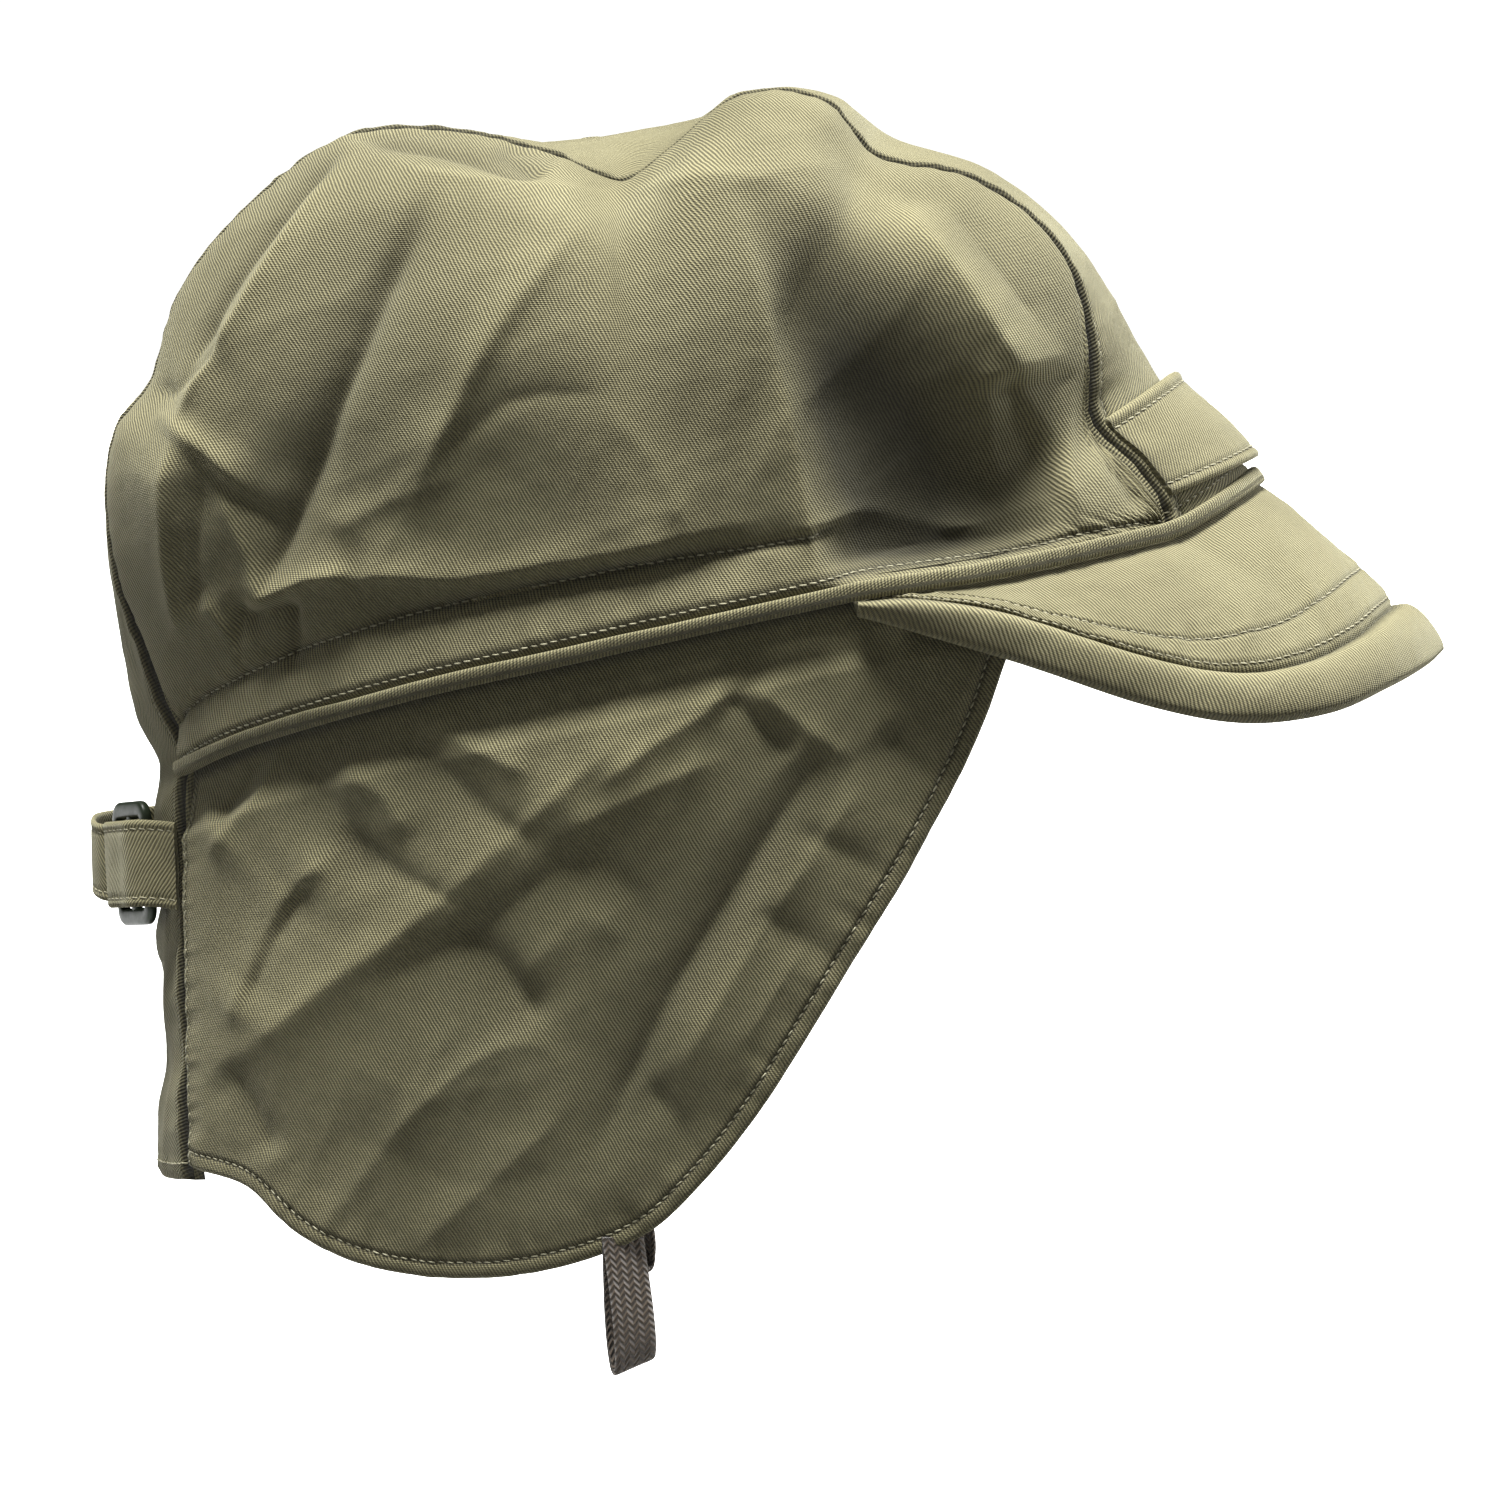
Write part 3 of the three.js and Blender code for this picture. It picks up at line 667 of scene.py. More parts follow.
def add_stitches(group, line, ways, pitch=STITCH_PITCH, length=STITCH_LENGTH, radius=STITCH_RADIUS):
    """Short slanted stitches along a line on the cloth, kept for one mesh for each group."""
    run = run_length(line)
    middles = np.arange(pitch / 2, run[-1] - pitch / 4, pitch)
    start, centre, end = [read_along(line, run, middles + shift)
                          for shift in (-length / 2, 0, length / 2)]
    up = unit(read_along(ways, run, middles))
    along = unit(end - start)
    side = unit(np.cross(along, up))
    turns = np.arange(STITCH_SIDES)[:, None] * 2 * math.pi / STITCH_SIDES
    around = np.cos(turns) * side[:, None] + np.sin(turns) * up[:, None]
    rings = []
    for share in (-0.5, -0.36, -0.12, 0.12, 0.36, 0.5):
        fat = radius * (0.45 if abs(share) > 0.4 else 1.0)
        lift = radius * (0.55 - 3.2 * share * share)
        middle = centre + along * length * share + up * lift + side * 0.22 * share
        rings.append(middle[:, None] + fat * around)
    stitch_parts.setdefault(group, []).append(np.stack(rings, axis=1))


def stitch_where(group, points, ways, field, turned=False):
    """Stitches on a grid where a field first passes 0 down each column, or along each row."""
    if turned:
        points, ways, field = points.transpose(1, 0, 2), ways.transpose(1, 0, 2), field.T
    line = []
    line_ways = []
    for c in range(points.shape[1]):
        hits = np.nonzero(field[:-1, c] * field[1:, c] <= 0)[0]
        if len(hits):
            r = hits[0]
            t = field[r, c] / (field[r, c] - field[r + 1, c] + 1e-12)
            line.append(lerp(points[r, c], points[r + 1, c], t))
            line_ways.append(lerp(ways[r, c], ways[r + 1, c], t))
    add_stitches(group, np.array(line), np.array(line_ways))


def build_stitches(material):
    for group, parts in stitch_parts.items():
        stitches = np.concatenate(parts)
        count, rings, sides = stitches.shape[:3]
        ring = ring_numbers(rings, sides)
        pattern = quads(ring.T) + [ring[0, :-1].tolist(), ring[-1, :-1][::-1].tolist()]
        faces = [[k * rings * sides + corner for corner in face]
                 for k in range(count) for face in pattern]
        points = stitches.reshape(-1, 3)
        piece = add_mesh("stitches_" + group, points, faces, points[:, [0, 2]], material, 80)
        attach(piece, "root")


# Materials

def new_material(name):
    material = bpy.data.materials.new(name)
    material.use_nodes = True
    return material, material.node_tree, material.node_tree.nodes["Principled BSDF"]


def connect(tree, node, inputs):
    """Sets a node's inputs, each from a value or from another node's output."""
    for key, value in inputs.items():
        if isinstance(value, bpy.types.NodeSocket):
            tree.links.new(value, node.inputs[key])
        else:
            node.inputs[key].default_value = value


def add_node(tree, kind, inputs, output=0, **settings):
    """One output of a new shader node with these inputs and settings."""
    node = tree.nodes.new("ShaderNode" + kind)
    for key, value in settings.items():
        setattr(node, key, value)
    connect(tree, node, inputs)
    return node.outputs[output]


def compute(tree, operation, *values):
    return add_node(tree, "Math", dict(enumerate(values)), operation=operation)


def noise(tree, place, scale, detail=2.0, rough=0.5):
    return add_node(tree, "TexNoise", {"Vector": place, "Scale": scale, "Detail": detail,
                                       "Roughness": rough}, "Fac")


def ramp(tree, factor, stops):
    colour = add_node(tree, "ValToRGB", {"Fac": factor}, "Color")
    elements = colour.node.color_ramp.elements
    while len(elements) < len(stops):
        elements.new(0.5)
    for element, (place, tone) in zip(elements, stops):
        element.position = place
        element.color = (*tone, 1)
    return colour


def wave(tree, place, period, turn, distortion):
    """Parallel ribs with a period in metres, turned by an angle in degrees."""
    turned = add_node(tree, "Mapping", {"Vector": place, "Rotation": (0, 0, math.radians(turn))})
    return add_node(tree, "TexWave", {
        "Vector": turned, "Scale": 2 * math.pi / 20 / period, "Distortion": distortion,
        "Detail": 3.0, "Detail Scale": 0.25, "Detail Roughness": 0.6,
    }, "Fac", wave_type="BANDS", bands_direction="X", wave_profile="SIN")


def mix(tree, factor, first, second, blend="MIX"):
    """A mix of two colours, through the colour sockets of the node, numbers 6 and 7."""
    return add_node(tree, "Mix", {0: factor, 6: first, 7: second}, 2,
                    data_type="RGBA", blend_type=blend)


def darken(tree, colour, tone):
    """A colour multiplied by a grey tone."""
    grey = add_node(tree, "CombineColor", {0: tone, 1: tone, 2: tone})
    return mix(tree, 1.0, colour, grey, "MULTIPLY")


def bump(tree, height, distance, strength, **normal):
    return add_node(tree, "Bump", {"Height": height, "Distance": distance, "Strength": strength,
                                   **normal})


def twill(name, period, turn, depth):
    """Diagonal twill: ribs, cross threads, slubs, faded and worn places, and a soft sheen."""
    material, tree, shader = new_material(name)
    place = add_node(tree, "UVMap", {}, uv_map="cloth")
    body = add_node(tree, "TexCoord", {}, "Object")
    ribs = wave(tree, place, period, turn, 5.0)
    threads = wave(tree, place, period * 0.55, turn + 62, 4.0)
    weave = compute(tree, "MULTIPLY_ADD", threads, 0.45, ribs)
    relief = compute(tree, "MULTIPLY_ADD", noise(tree, place, 900), 0.8, weave)
    patches = noise(tree, body, 22, 4, 0.6)
    cloth = ramp(tree, patches, [(0.3, OLIVE_DARK), (0.52, OLIVE_MID), (0.75, OLIVE_LIGHT)])
    cloth = darken(tree, cloth, compute(tree, "MULTIPLY_ADD", weave, 1.2, 0.13))
    crests = add_node(tree, "NewGeometry", {}, "Pointiness")
    worn = ramp(tree, crests, [(0.53, (0, 0, 0)), (0.6, (0.5, 0.5, 0.5))])
    cloth = mix(tree, worn, cloth, (*(1.35 * c for c in OLIVE_LIGHT), 1))
    # Painted shade: the mesh's shade attribute darkens seams, stitch lines, fold valleys and the gaps
    # under overlapping pieces
    cloth = darken(tree, cloth, add_node(tree, "Attribute", {}, "Fac", attribute_name="shade"))
    soft = bump(tree, noise(tree, body, 240, 3, 0.6), 0.0004, 0.25)
    connect(tree, shader, {
        "Base Color": cloth,
        "Roughness": compute(tree, "MULTIPLY_ADD", patches, 0.18, CLOTH_ROUGHNESS),
        "Specular IOR Level": 0.35,
        "Sheen Weight": CLOTH_SHEEN,
        "Sheen Roughness": 0.45,
        "Sheen Tint": (0.75, 0.75, 0.6, 1),
        "Normal": bump(tree, relief, depth, 1.0, Normal=soft),
    })
    return material


def thread_material():
    material, tree, shader = new_material("sewing_thread")
    body = add_node(tree, "TexCoord", {}, "Object")
    colour = ramp(tree, noise(tree, body, 700), [(0.3, (0.2, 0.185, 0.115)), (0.7, (0.42, 0.4, 0.28))])
    strands = noise(tree, body, 4000, 1)
    connect(tree, shader, {"Base Color": colour, "Roughness": 0.6, "Sheen Weight": 0.2,
                           "Normal": bump(tree, strands, 0.0001, 0.6)})
    return material


def braid_material():
    """Flat braid: strands that slope both ways in turn across it."""
    material, tree, shader = new_material("flat_braid")
    place = add_node(tree, "UVMap", {}, uv_map="cloth")
    parts = add_node(tree, "SeparateXYZ", {0: place}).node.outputs
    strand = compute(tree, "PINGPONG", parts["Y"], 0.00115)
    run = compute(tree, "MULTIPLY_ADD", strand, 1.1, parts["X"])
    plait = compute(tree, "SINE", compute(tree, "MULTIPLY", run, 2 * math.pi / 0.0015))
    height = compute(tree, "MULTIPLY_ADD", plait, 0.4, compute(tree, "MULTIPLY", strand, 900))
    tone = compute(tree, "MULTIPLY_ADD", plait, 0.22, 0.5)
    colour = ramp(tree, tone, [(0.25, (0.02, 0.014, 0.008)), (0.8, (0.12, 0.09, 0.06))])
    connect(tree, shader, {"Base Color": colour, "Roughness": 0.7, "Sheen Weight": 0.3,
                           "Normal": bump(tree, height, 0.0006, 0.9)})
    return material


def plastic_material():
    material, tree, shader = new_material("green_plastic")
    body = add_node(tree, "TexCoord", {}, "Object")
    cloud = noise(tree, body, 90, 3)
    colour = ramp(tree, cloud, [(0.3, (0.014, 0.02, 0.011)), (0.7, (0.03, 0.04, 0.024))])
    scuffs = noise(tree, body, 500, 4, 0.7)
    rough = ramp(tree, scuffs, [(0.4, (0.34,) * 3), (0.7, (0.5,) * 3)])
    connect(tree, shader, {"Base Color": colour, "Roughness": rough, "Specular IOR Level": 0.3,
                           "Normal": bump(tree, scuffs, 0.0001, 0.3)})
    return material


cloth_material = twill("olive_twill", *CLOTH_WEAVE)
strap_material = twill("strap_twill", *STRAP_WEAVE)
welt_material = twill("welt_twill", *WELT_WEAVE)
peak_material = twill("peak_twill", *PEAK_WEAVE)
thread = thread_material()
braid = braid_material()
plastic = plastic_material()


def place_piece(piece, node):
    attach(piece, "root")
    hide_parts(node)


# Crown, flaps, welt and peak

def crown_side(node, side, folds, seed):
    rows = 208
    u, v = shares(288, rows)
    angle = lerp(FOOT_REAR, FOOT_FRONT, u)
    radius = seam_radius(side, angle)
    rim_x = lerp(RIM_REAR_FOOT, RIM_FRONT_FOOT, u)
    share = np.sin(v * math.pi / 2)
    x = lerp(rim_x, radius * np.cos(np.radians(angle)), share)
    z = lerp(rim_height(rim_x), radius * np.sin(np.radians(angle)), share)
    base = upright(x, side * side_reach(side, x, z), z)
    normals = grid_normals(base, outward(base))
    px, pz = base[..., 0], base[..., 2]
    from_rim = column_lengths(base)
    from_seam = from_rim[-1] - from_rim
    along = row_lengths(base)
    casing = casing_height(np.repeat(rim_x, rows + 1, 0))
    above = from_rim - casing
    lower = from_rim - LOWER_STITCH
    inside = smoothstep(0, 14, from_seam) * smoothstep(1, 10, from_rim)
    relief = fold_relief(px, pz, folds, CROWN_CREST)
    relief *= np.where(relief > 0, smoothstep(8, 34, from_seam), smoothstep(0, 7, from_seam))
    relief -= HOLLOW_DEPTH[side] * front_hollow(px, pz) * smoothstep(0, 16, from_seam)
    relief *= smoothstep(1, 10, from_rim)
    # Painted shade: fold valleys darker and crests paler, by their depth and height
    painted_fold_shade = 1 + FOLD_PAINTED_SHADE * np.clip(relief / 4, -2.2, 1)
    rise = np.clip(from_rim / 95, 0, 1)
    relief += SHOULDER_FULLNESS * smoothstep(14, 40, from_seam) * smoothstep(0.25, 0.9, rise)
    relief -= WAIST_DEPTH * groove(rise - 0.36, 0.22)
    relief += 0.8 * creases(px, pz, 62, 46, 17, seed) * inside
    relief += 0.26 * creases(px, pz, 20, 26, 9, seed + 20) * inside
    relief += 0.05 * lattice(px / 3, pz / 3, seed + 40) * inside
    channel = smoothstep(-CASING_CLIMB, 0, lower) * np.clip(-above / (casing - LOWER_STITCH), 0, 1)
    ends = smoothstep(CASING_END_X + 6, CASING_END_X - 2, px)
    drawn_in = np.clip(lower / (casing - LOWER_STITCH), 0, 1) * np.exp(-np.maximum(above, 0) / 7)
    relief += (CASING_RISE * channel - CASING_PULL * drawn_in - 0.75 * groove(above, 0.9)) * ends
    relief += 0.35 * pucker(along, above, seed + 50) * ends
    relief += 0.3 * pucker(along, lower, seed + 60) - 0.6 * groove(lower, 0.8)
    relief += 0.3 * pucker(along, from_seam, seed + 70, 6) - 1.3 * groove(from_seam, 1.1)
    # Painted shade: a dark line along the seam and in the stitch grooves, on top of the painted fold
    # shade
    shade = painted_fold_shade * (1 - 0.94 * groove(from_seam, 1.0))
    shade *= (1 - 0.6 * groove(above, 0.7) * ends) * (1 - 0.6 * groove(lower, 0.7))
    outer = base + normals * relief[..., None]
    inner = outer - outward(base) * CROWN_WALL
    foot = np.stack([px[:1] * side, pz[:1]], -1)
    column = unit(np.stack([px[-1:] * side, pz[-1:]], -1) - foot)
    uv = foot + column * from_rim[..., None]
    place_piece(shell("cloth_" + node, outer, inner, uv, cloth_material, shade), node)
    lift = grid_normals(outer, outward(outer))
    stitch_where(node, outer, lift, lower)
    keep = rim_x[0] < CASING_END_X / math.cos(RIM_TILT)
    stitch_where(node, outer[:, keep], lift[:, keep], above[:, keep])


def centre_base(share, across):
    """Points of the long panel by share of its length and place across, -1 to 1."""
    crown_share = 44 / 52
    seam = across * across
    nape_end = lerp(NAPE_MIDDLE_END, NAPE_SEAM_END, seam)
    angle = np.where(
        share <= crown_share,
        lerp(FOOT_FRONT * seam, FOOT_REAR, share / crown_share),
        lerp(FOOT_REAR, nape_end, (share - crown_share) / (1 - crown_share)))
    right = seam_radius(RIGHT, angle)
    left = seam_radius(LEFT, angle)
    bow = panel_middle(angle) - (right + left) / 2
    radius = lerp(right, left, (across + 1) / 2) + bow * (1 - seam)
    turned = np.radians(angle)
    return upright(radius * np.cos(turned), across * PANEL_HALF_WIDTH, radius * np.sin(turned))


def centre_panel():
    columns, rows = 400, 92
    spread = np.linspace(-1, 1, rows + 1)[:, None]
    across = np.sin(spread * math.pi / 2) * 0.65 + spread * 0.35
    share, across = np.broadcast_arrays(np.linspace(0, 1, columns + 1), across)
    base = centre_base(share, across)
    normals = grid_normals(base, outward(base))
    run = row_lengths(base)
    hem = run[:, -1:] - run
    side = across * PANEL_HALF_WIDTH
    from_seam = PANEL_HALF_WIDTH - np.abs(side)
    inside = smoothstep(0, 9, from_seam)
    relief = 0.8 * creases(run, side, 80, 34, 14, 11) * inside
    relief += 0.4 * creases(run, side, 20, 24, 9, 21) * inside
    relief += 0.1 * lattice(run / 4, side / 4, 31)
    relief += 1.5 * lattice(run / 13, side / 26, 61) * smoothstep(135, 100, hem)
    relief += 0.5 * smoothstep(3.6, 1.0, from_seam) - 1.6 * groove(from_seam, 0.45)
    relief -= 0.5 * groove(from_seam - PANEL_STITCH, 0.5)
    # Painted shade: a dark line along the seams and in the stitch grooves
    shade = (1 - 0.94 * groove(from_seam, 0.75)) * (1 - 0.6 * groove(from_seam - PANEL_STITCH, 0.45))
    relief += 0.3 * pucker(run, from_seam - PANEL_STITCH, 41, 5)
    relief -= 0.4 * groove(hem - HEM_STITCH, 0.6) - 0.3 * groove(hem - 1.5, 1.2)
    relief -= 0.8 * groove(hem, 0.5)
    relief += 0.3 * pucker(side, hem - HEM_STITCH, 51, 4)
    relief -= 0.5 * groove(run - LOWER_STITCH, 0.7) * (run < 12)
    outer = base + normals * relief[..., None]
    tucked = TUCK_WIDTH * smoothstep(0.9, 1, np.abs(across))
    inner = outer - outward(base) * (CROWN_WALL + TUCK_DEPTH * tucked)[..., None]
    inner[..., 1] += np.sign(across) * tucked
    piece = shell("cloth_centre_panel", outer, inner, np.stack([run, side], -1), cloth_material, shade)
    place_piece(piece, "centre_panel")
    lift = grid_normals(outer, outward(outer))
    for half in (slice(0, rows // 2), slice(rows // 2, rows + 1)):
        stitch_where("centre_panel", outer[half], lift[half], from_seam[half] - PANEL_STITCH)
    stitch_where("centre_panel", outer, lift, hem - HEM_STITCH, turned=True)
    stitch_where("centre_panel", outer, lift, run - LOWER_STITCH, turned=True)


def flap(node, side, folds, seed):
    """A hanging flap. It gives back the points of its lower edge."""
    rows = 168
    u, v = shares(208, rows)
    v = 0.75 * v + 0.25 * np.sin(v * math.pi / 2)
    rim_x = lerp(RIM_REAR_FOOT, 72, u)
    tuck = 4.0
    top = upright(rim_x, 0, rim_height(rim_x) + tuck)
    top_x, top_z = top[..., 0], top[..., 2]
    swept = -14 * np.sin(math.pi * np.clip((u - 0.3) / 1.2, 0, 1)) if side == LEFT else 0
    edge_x = flap_edge_x(u) + swept
    edge_z = flap_edge_z(u)
    x = lerp(top_x, edge_x, v)
    z = lerp(top_z, edge_z, v)
    seam = PANEL_HALF_WIDTH + 3 * SEAM_GAP
    plan = np.maximum(side_reach(side, x / math.cos(RIM_TILT), 0 * x), seam)
    depth = np.clip(-z / 130, 0, 1.2)
    from_seam = np.clip((x - NAPE_SEAM_X) / 70, 0, 1)
    hug = (0.13 if side == RIGHT else 0.17) * depth ** 1.5 * from_seam * (2 - from_seam)
    base = stack(x, side * plan * (1 - hug), z)
    below = top_z - tuck - z
    inset = (CROWN_WALL + 3 * SEAM_GAP) * (1 - np.clip(below / 14, 0, 1) ** 2)
    normals = grid_normals(base, outward_level(base))
    seam_gap = row_lengths(base)
    from_top = column_lengths(base)
    edge_path = np.stack([edge_x[0], edge_z[0]], -1)
    edge_gap, edge_place = path_distance(x, z, edge_path)
    edge_gap = np.abs(edge_gap)
    edge_run = edge_place * run_length(edge_path)[-1]
    inside = smoothstep(3, 16, from_top) * smoothstep(0, 12, edge_gap) * smoothstep(0, 14, seam_gap)
    relief = fold_relief(x, z, folds, FLAP_CREST) * inside
    # Painted shade: fold valleys darker and crests paler, by their depth and height
    painted_fold_shade = 1 + FOLD_PAINTED_SHADE * np.clip(relief / 3, -1, 1)
    relief += 0.7 * creases(x, z, 42, 50, 18, seed) * inside
    relief += 0.24 * creases(x, z, 60, 26, 9, seed + 20) * inside
    relief += 0.05 * lattice(x / 3, z / 3, seed + 40)
    relief += 0.6 * lattice(seam_gap / 16, edge_gap / 30, seed + 45) * smoothstep(16, 4, edge_gap)
    relief += 0.2 * smoothstep(3.6, 3.0, edge_gap) - 0.4 * groove(edge_gap - HEM_STITCH, 0.5)
    relief -= 0.8 * groove(edge_gap, 0.45)
    # Painted shade: dark hem and seam stitch grooves and a dark line along the nape seam
    shade = painted_fold_shade * (1 - 0.65 * groove(edge_gap - HEM_STITCH, 0.6))
    shade *= (1 - 0.6 * groove(seam_gap - FLAP_STITCH, 0.6)) * (1 - 0.8 * groove(seam_gap, 0.7))
    # Painted shadow right under the welt, where the flap tucks in beneath it
    shade *= 1 - 0.75 * smoothstep(3.5, 0.5, below)
    relief += 0.35 * pucker(edge_run, edge_gap - HEM_STITCH, seed + 50, 5)
    relief += 0.3 * groove(seam_gap - 1.0, 0.9) - 0.8 * groove(seam_gap, 0.6)
    relief -= 0.4 * groove(seam_gap - FLAP_STITCH, 0.6)
    relief += 0.3 * pucker(from_top, seam_gap - FLAP_STITCH, seed + 60, 5)
    level = outward_level(base)
    outer = base + normals * relief[..., None] - level * inset[..., None]
    inner = outer - level * FLAP_WALL
    uv = np.stack([x * side, z], -1)
    place_piece(shell("cloth_" + node, outer, inner, uv, cloth_material, shade), node)
    lift = grid_normals(outer, outward_level(outer))
    low = slice(rows // 3, None)
    stitch_where(node, outer[low], lift[low], edge_gap[low] - HEM_STITCH)
    stitch_where(node, outer[14:], lift[14:], seam_gap[14:] - FLAP_STITCH, turned=True)
    return outer[-1]


def rim_edge(share, seam_share, end_x, up):
    """Points near the crown's lower edge, from the middle of the brow round both ways."""
    side = np.where(share < 0, RIGHT, LEFT)
    reach = np.abs(share)
    across = side * np.minimum(reach / seam_share, 1)
    brow = centre_base(up / 330 + 0 * share, across)
    beyond = np.clip((reach - seam_share) / (1 - seam_share), 0, 1)
    x = lerp(RIM_FRONT_FOOT, end_x, beyond)
    z = rim_height(x) + up
    width = np.where(share < 0, side_reach(RIGHT, x, z), side_reach(LEFT, x, z))
    flank = upright(x, side * width, z)
    return np.where((reach <= seam_share)[..., None], brow, flank)


def rim_welt():
    """The folded edge that runs along the rim, with a rounded section."""
    count = 640
    share = np.linspace(-1, 1, count)
    low = rim_edge(share, 0.12, RIM_REAR_FOOT + 1, 0.0)
    high = rim_edge(share, 0.12, RIM_REAR_FOOT + 1, 3.6)
    for _ in range(6):
        low[1:-1] = (low[:-2] + 2 * low[1:-1] + low[2:]) / 4
        high[1:-1] = (high[:-2] + 2 * high[1:-1] + high[2:]) / 4
    out = outward(low)
    up = unit(high - low)
    run = run_length(low)
    puff = 1 + 0.10 * lattice(run / 9, 0 * run, 5) + 0.06 * lattice(run / 2.6, 0 * run, 6)
    tall = 3.7 * (1 + 0.06 * lattice(run / 14, 0 * run, 8))
    section = []
    for fat, high_share in squared_circle(20, 0.7, 0.8):
        away = 0.75 + 0.85 * puff * (1 + fat)
        rise = tall * (0.5 + 0.5 * high_share) - 0.2
        section.append(low + out * away[:, None] + up * rise[:, None])
    piece = loft("cloth_rim_welt", np.stack(section, 1), welt_material)
    place_piece(piece, "rim_welt")


def peak_sheet(share, run):
    """Upper face of the peak: run 0 at the crown, 1 on the fold, 2 on the lower edge."""
    side = np.where(share < 0, -1.0, 1.0)
    reach = np.abs(share)
    root = rim_edge(share, PEAK_SEAM_SHARE, PEAK_CORNER_X, 0.0)
    root[..., 2] -= SEAM_GAP
    read = {key: curve(PEAK, key)(reach) for key in PEAK if key != "at"}
    fold = stack(read["foldX"], side * read["foldY"], read["foldZ"])
    edge = stack(read["edgeX"], side * read["edgeY"], read["edgeZ"])
    t = np.clip(run, 0, 1)[..., None]
    points = lerp(root, fold, t)
    points[..., 2] += 2.0 * (4 * t * (1 - t))[..., 0] * (1 - reach ** 4)
    band = np.clip(run - 1, 0, 1)[..., None] * PEAK_BAND_SHARE
    return np.where((run > 1)[..., None], lerp(fold, edge, band), points)


def peak():
    columns, top_rows, band_rows = 320, 60, 24
    run = np.concatenate([np.linspace(0, 1, top_rows, endpoint=False), np.linspace(1, 2, band_rows)])
    share, run = np.broadcast_arrays(np.linspace(-1, 1, columns + 1), run[:, None])
    base = peak_sheet(share, run)
    for _ in range(10):
        base[1:-1] = (base[:-2] + 2 * base[1:-1] + base[2:]) / 4
    for _ in range(4):
        base[1:, 1:-1] = (base[1:, :-2] + 2 * base[1:, 1:-1] + base[1:, 2:]) / 4
    away = stack(0.3 + 0 * share, 0.2 * np.sign(share), 1 + 0 * share)
    normals = grid_normals(base, away)
    down = column_lengths(base)
    along = row_lengths(base)
    from_fold = down[top_rows] - down
    on_top = run <= 1
    relief = 0.9 * creases(base[..., 0], base[..., 1], 70, 40, 18, 71) * smoothstep(2, 12, down)
    relief *= smoothstep(-2, 8, from_fold)
    relief += 0.5 * lattice(along / 22, down / 22, 72) * smoothstep(2, 10, down)
    relief += 0.08 * lattice(along / 3, down / 3, 73)
    for line_gap, seed in zip(PEAK_STITCHES, (74, 75)):
        relief -= 0.45 * groove(from_fold - line_gap, 0.7) * on_top
        relief += 0.3 * pucker(along, from_fold - line_gap, seed, 5) * on_top
    relief -= 1.3 * groove(from_fold, 1.2)
    band = np.clip(run - 1, 0, 1)
    roll = np.sin(math.pi * band ** 0.75) ** 0.7
    relief += 2.4 * roll + 0.45 * lattice(along / 18, band, 76) * roll
    # Painted shade: a dark line along the fold, at the root under the welt, and in the stitch grooves
    shade = (1 - 0.6 * groove(from_fold, 0.8)) * (1 - 0.5 * groove(down, 0.8))
    for line_gap in PEAK_STITCHES:
        shade *= 1 - 0.6 * groove(from_fold - line_gap, 0.55) * on_top
    outer = base + normals * relief[..., None]
    inner = base - normals * PEAK_WALL
    uv = np.stack([along, down], -1)
    place_piece(shell("cloth_peak", outer, inner, uv, peak_material, shade, 1, 70), "peak")
    lift = grid_normals(outer, away)
    for line_gap in PEAK_STITCHES:
        stitch_where("peak", outer[:top_rows], lift[:top_rows], (from_fold - line_gap)[:top_rows])


# Straps, tab, buckle and tape

def smooth_path(points, spacing):
    """Points at an even spacing along a smooth line through the given ones."""
    points = np.array(points, float)
    ends = np.concatenate([[2 * points[0] - points[1]], points, [2 * points[-1] - points[-2]]])
    t = np.linspace(0, 1, 24, endpoint=False)[:, None]
    line = []
    for a, b, c, d in zip(ends[:-3], ends[1:-2], ends[2:-1], ends[3:]):
        line.append(0.5 * (2 * b + (c - a) * t + (2 * a - 5 * b + 4 * c - d) * t ** 2
                           + (3 * b - a - 3 * c + d) * t ** 3))
    line = np.concatenate(line + [points[-1:]])
    run = run_length(line)
    return read_along(line, run, np.linspace(0, run[-1], max(int(run[-1] / spacing), 2) + 1))


def band_section(width, thick, hem, across=28):
    """Half widths and offsets of a flat band's section, with hems that puff beyond their stitches."""
    spread = np.sin(np.linspace(-1, 1, across) * math.pi / 2)
    spread = 0.5 * spread + 0.5 * np.linspace(-1, 1, across)
    swell = thick / 2 * np.sqrt(np.maximum(1 - np.abs(spread) ** 14, 0))
    from_edge = width / 2 * (1 - np.abs(spread))
    face = swell.copy()
    if hem > 0:
        face += 0.16 * groove(from_edge - hem / 2, hem / 2.5) - 0.26 * groove(from_edge - hem, 0.5)
    places = np.concatenate([spread, spread[-2:0:-1]]) * width / 2
    offsets = np.concatenate([face, -swell[-2:0:-1]])
    return places, offsets


def band(name, path, wide_way, out_way, width, thick, material, shape, hem, seed):
    """A flat band along a path. Its hemmed face looks the way that out_way does where it starts."""
    normal = unit(np.cross(unit(np.gradient(path, axis=0)), wide_way))
    if np.dot(normal[0], out_way) < 0:
        normal = -normal
    places, offsets = band_section(width, thick, hem)
    run = run_length(path)[:, None]
    ripple = 0.12 * lattice(run / 5 + 0 * places, places / 5 + 0 * run, seed)
    offsets = offsets + np.where(offsets > 0, ripple, 0)
    loops = path[:, None] + wide_way * places[:, None] + normal[:, None] * offsets[..., None]
    piece = loft(name, shape(loops, places), material)
    lines = []
    for place in (hem - width / 2, width / 2 - hem):
        line = path + wide_way * place + normal * (thick / 2 - 0.2)
        lines.append(shape(line[:, None], place)[:, 0])
    return piece, lines, normal


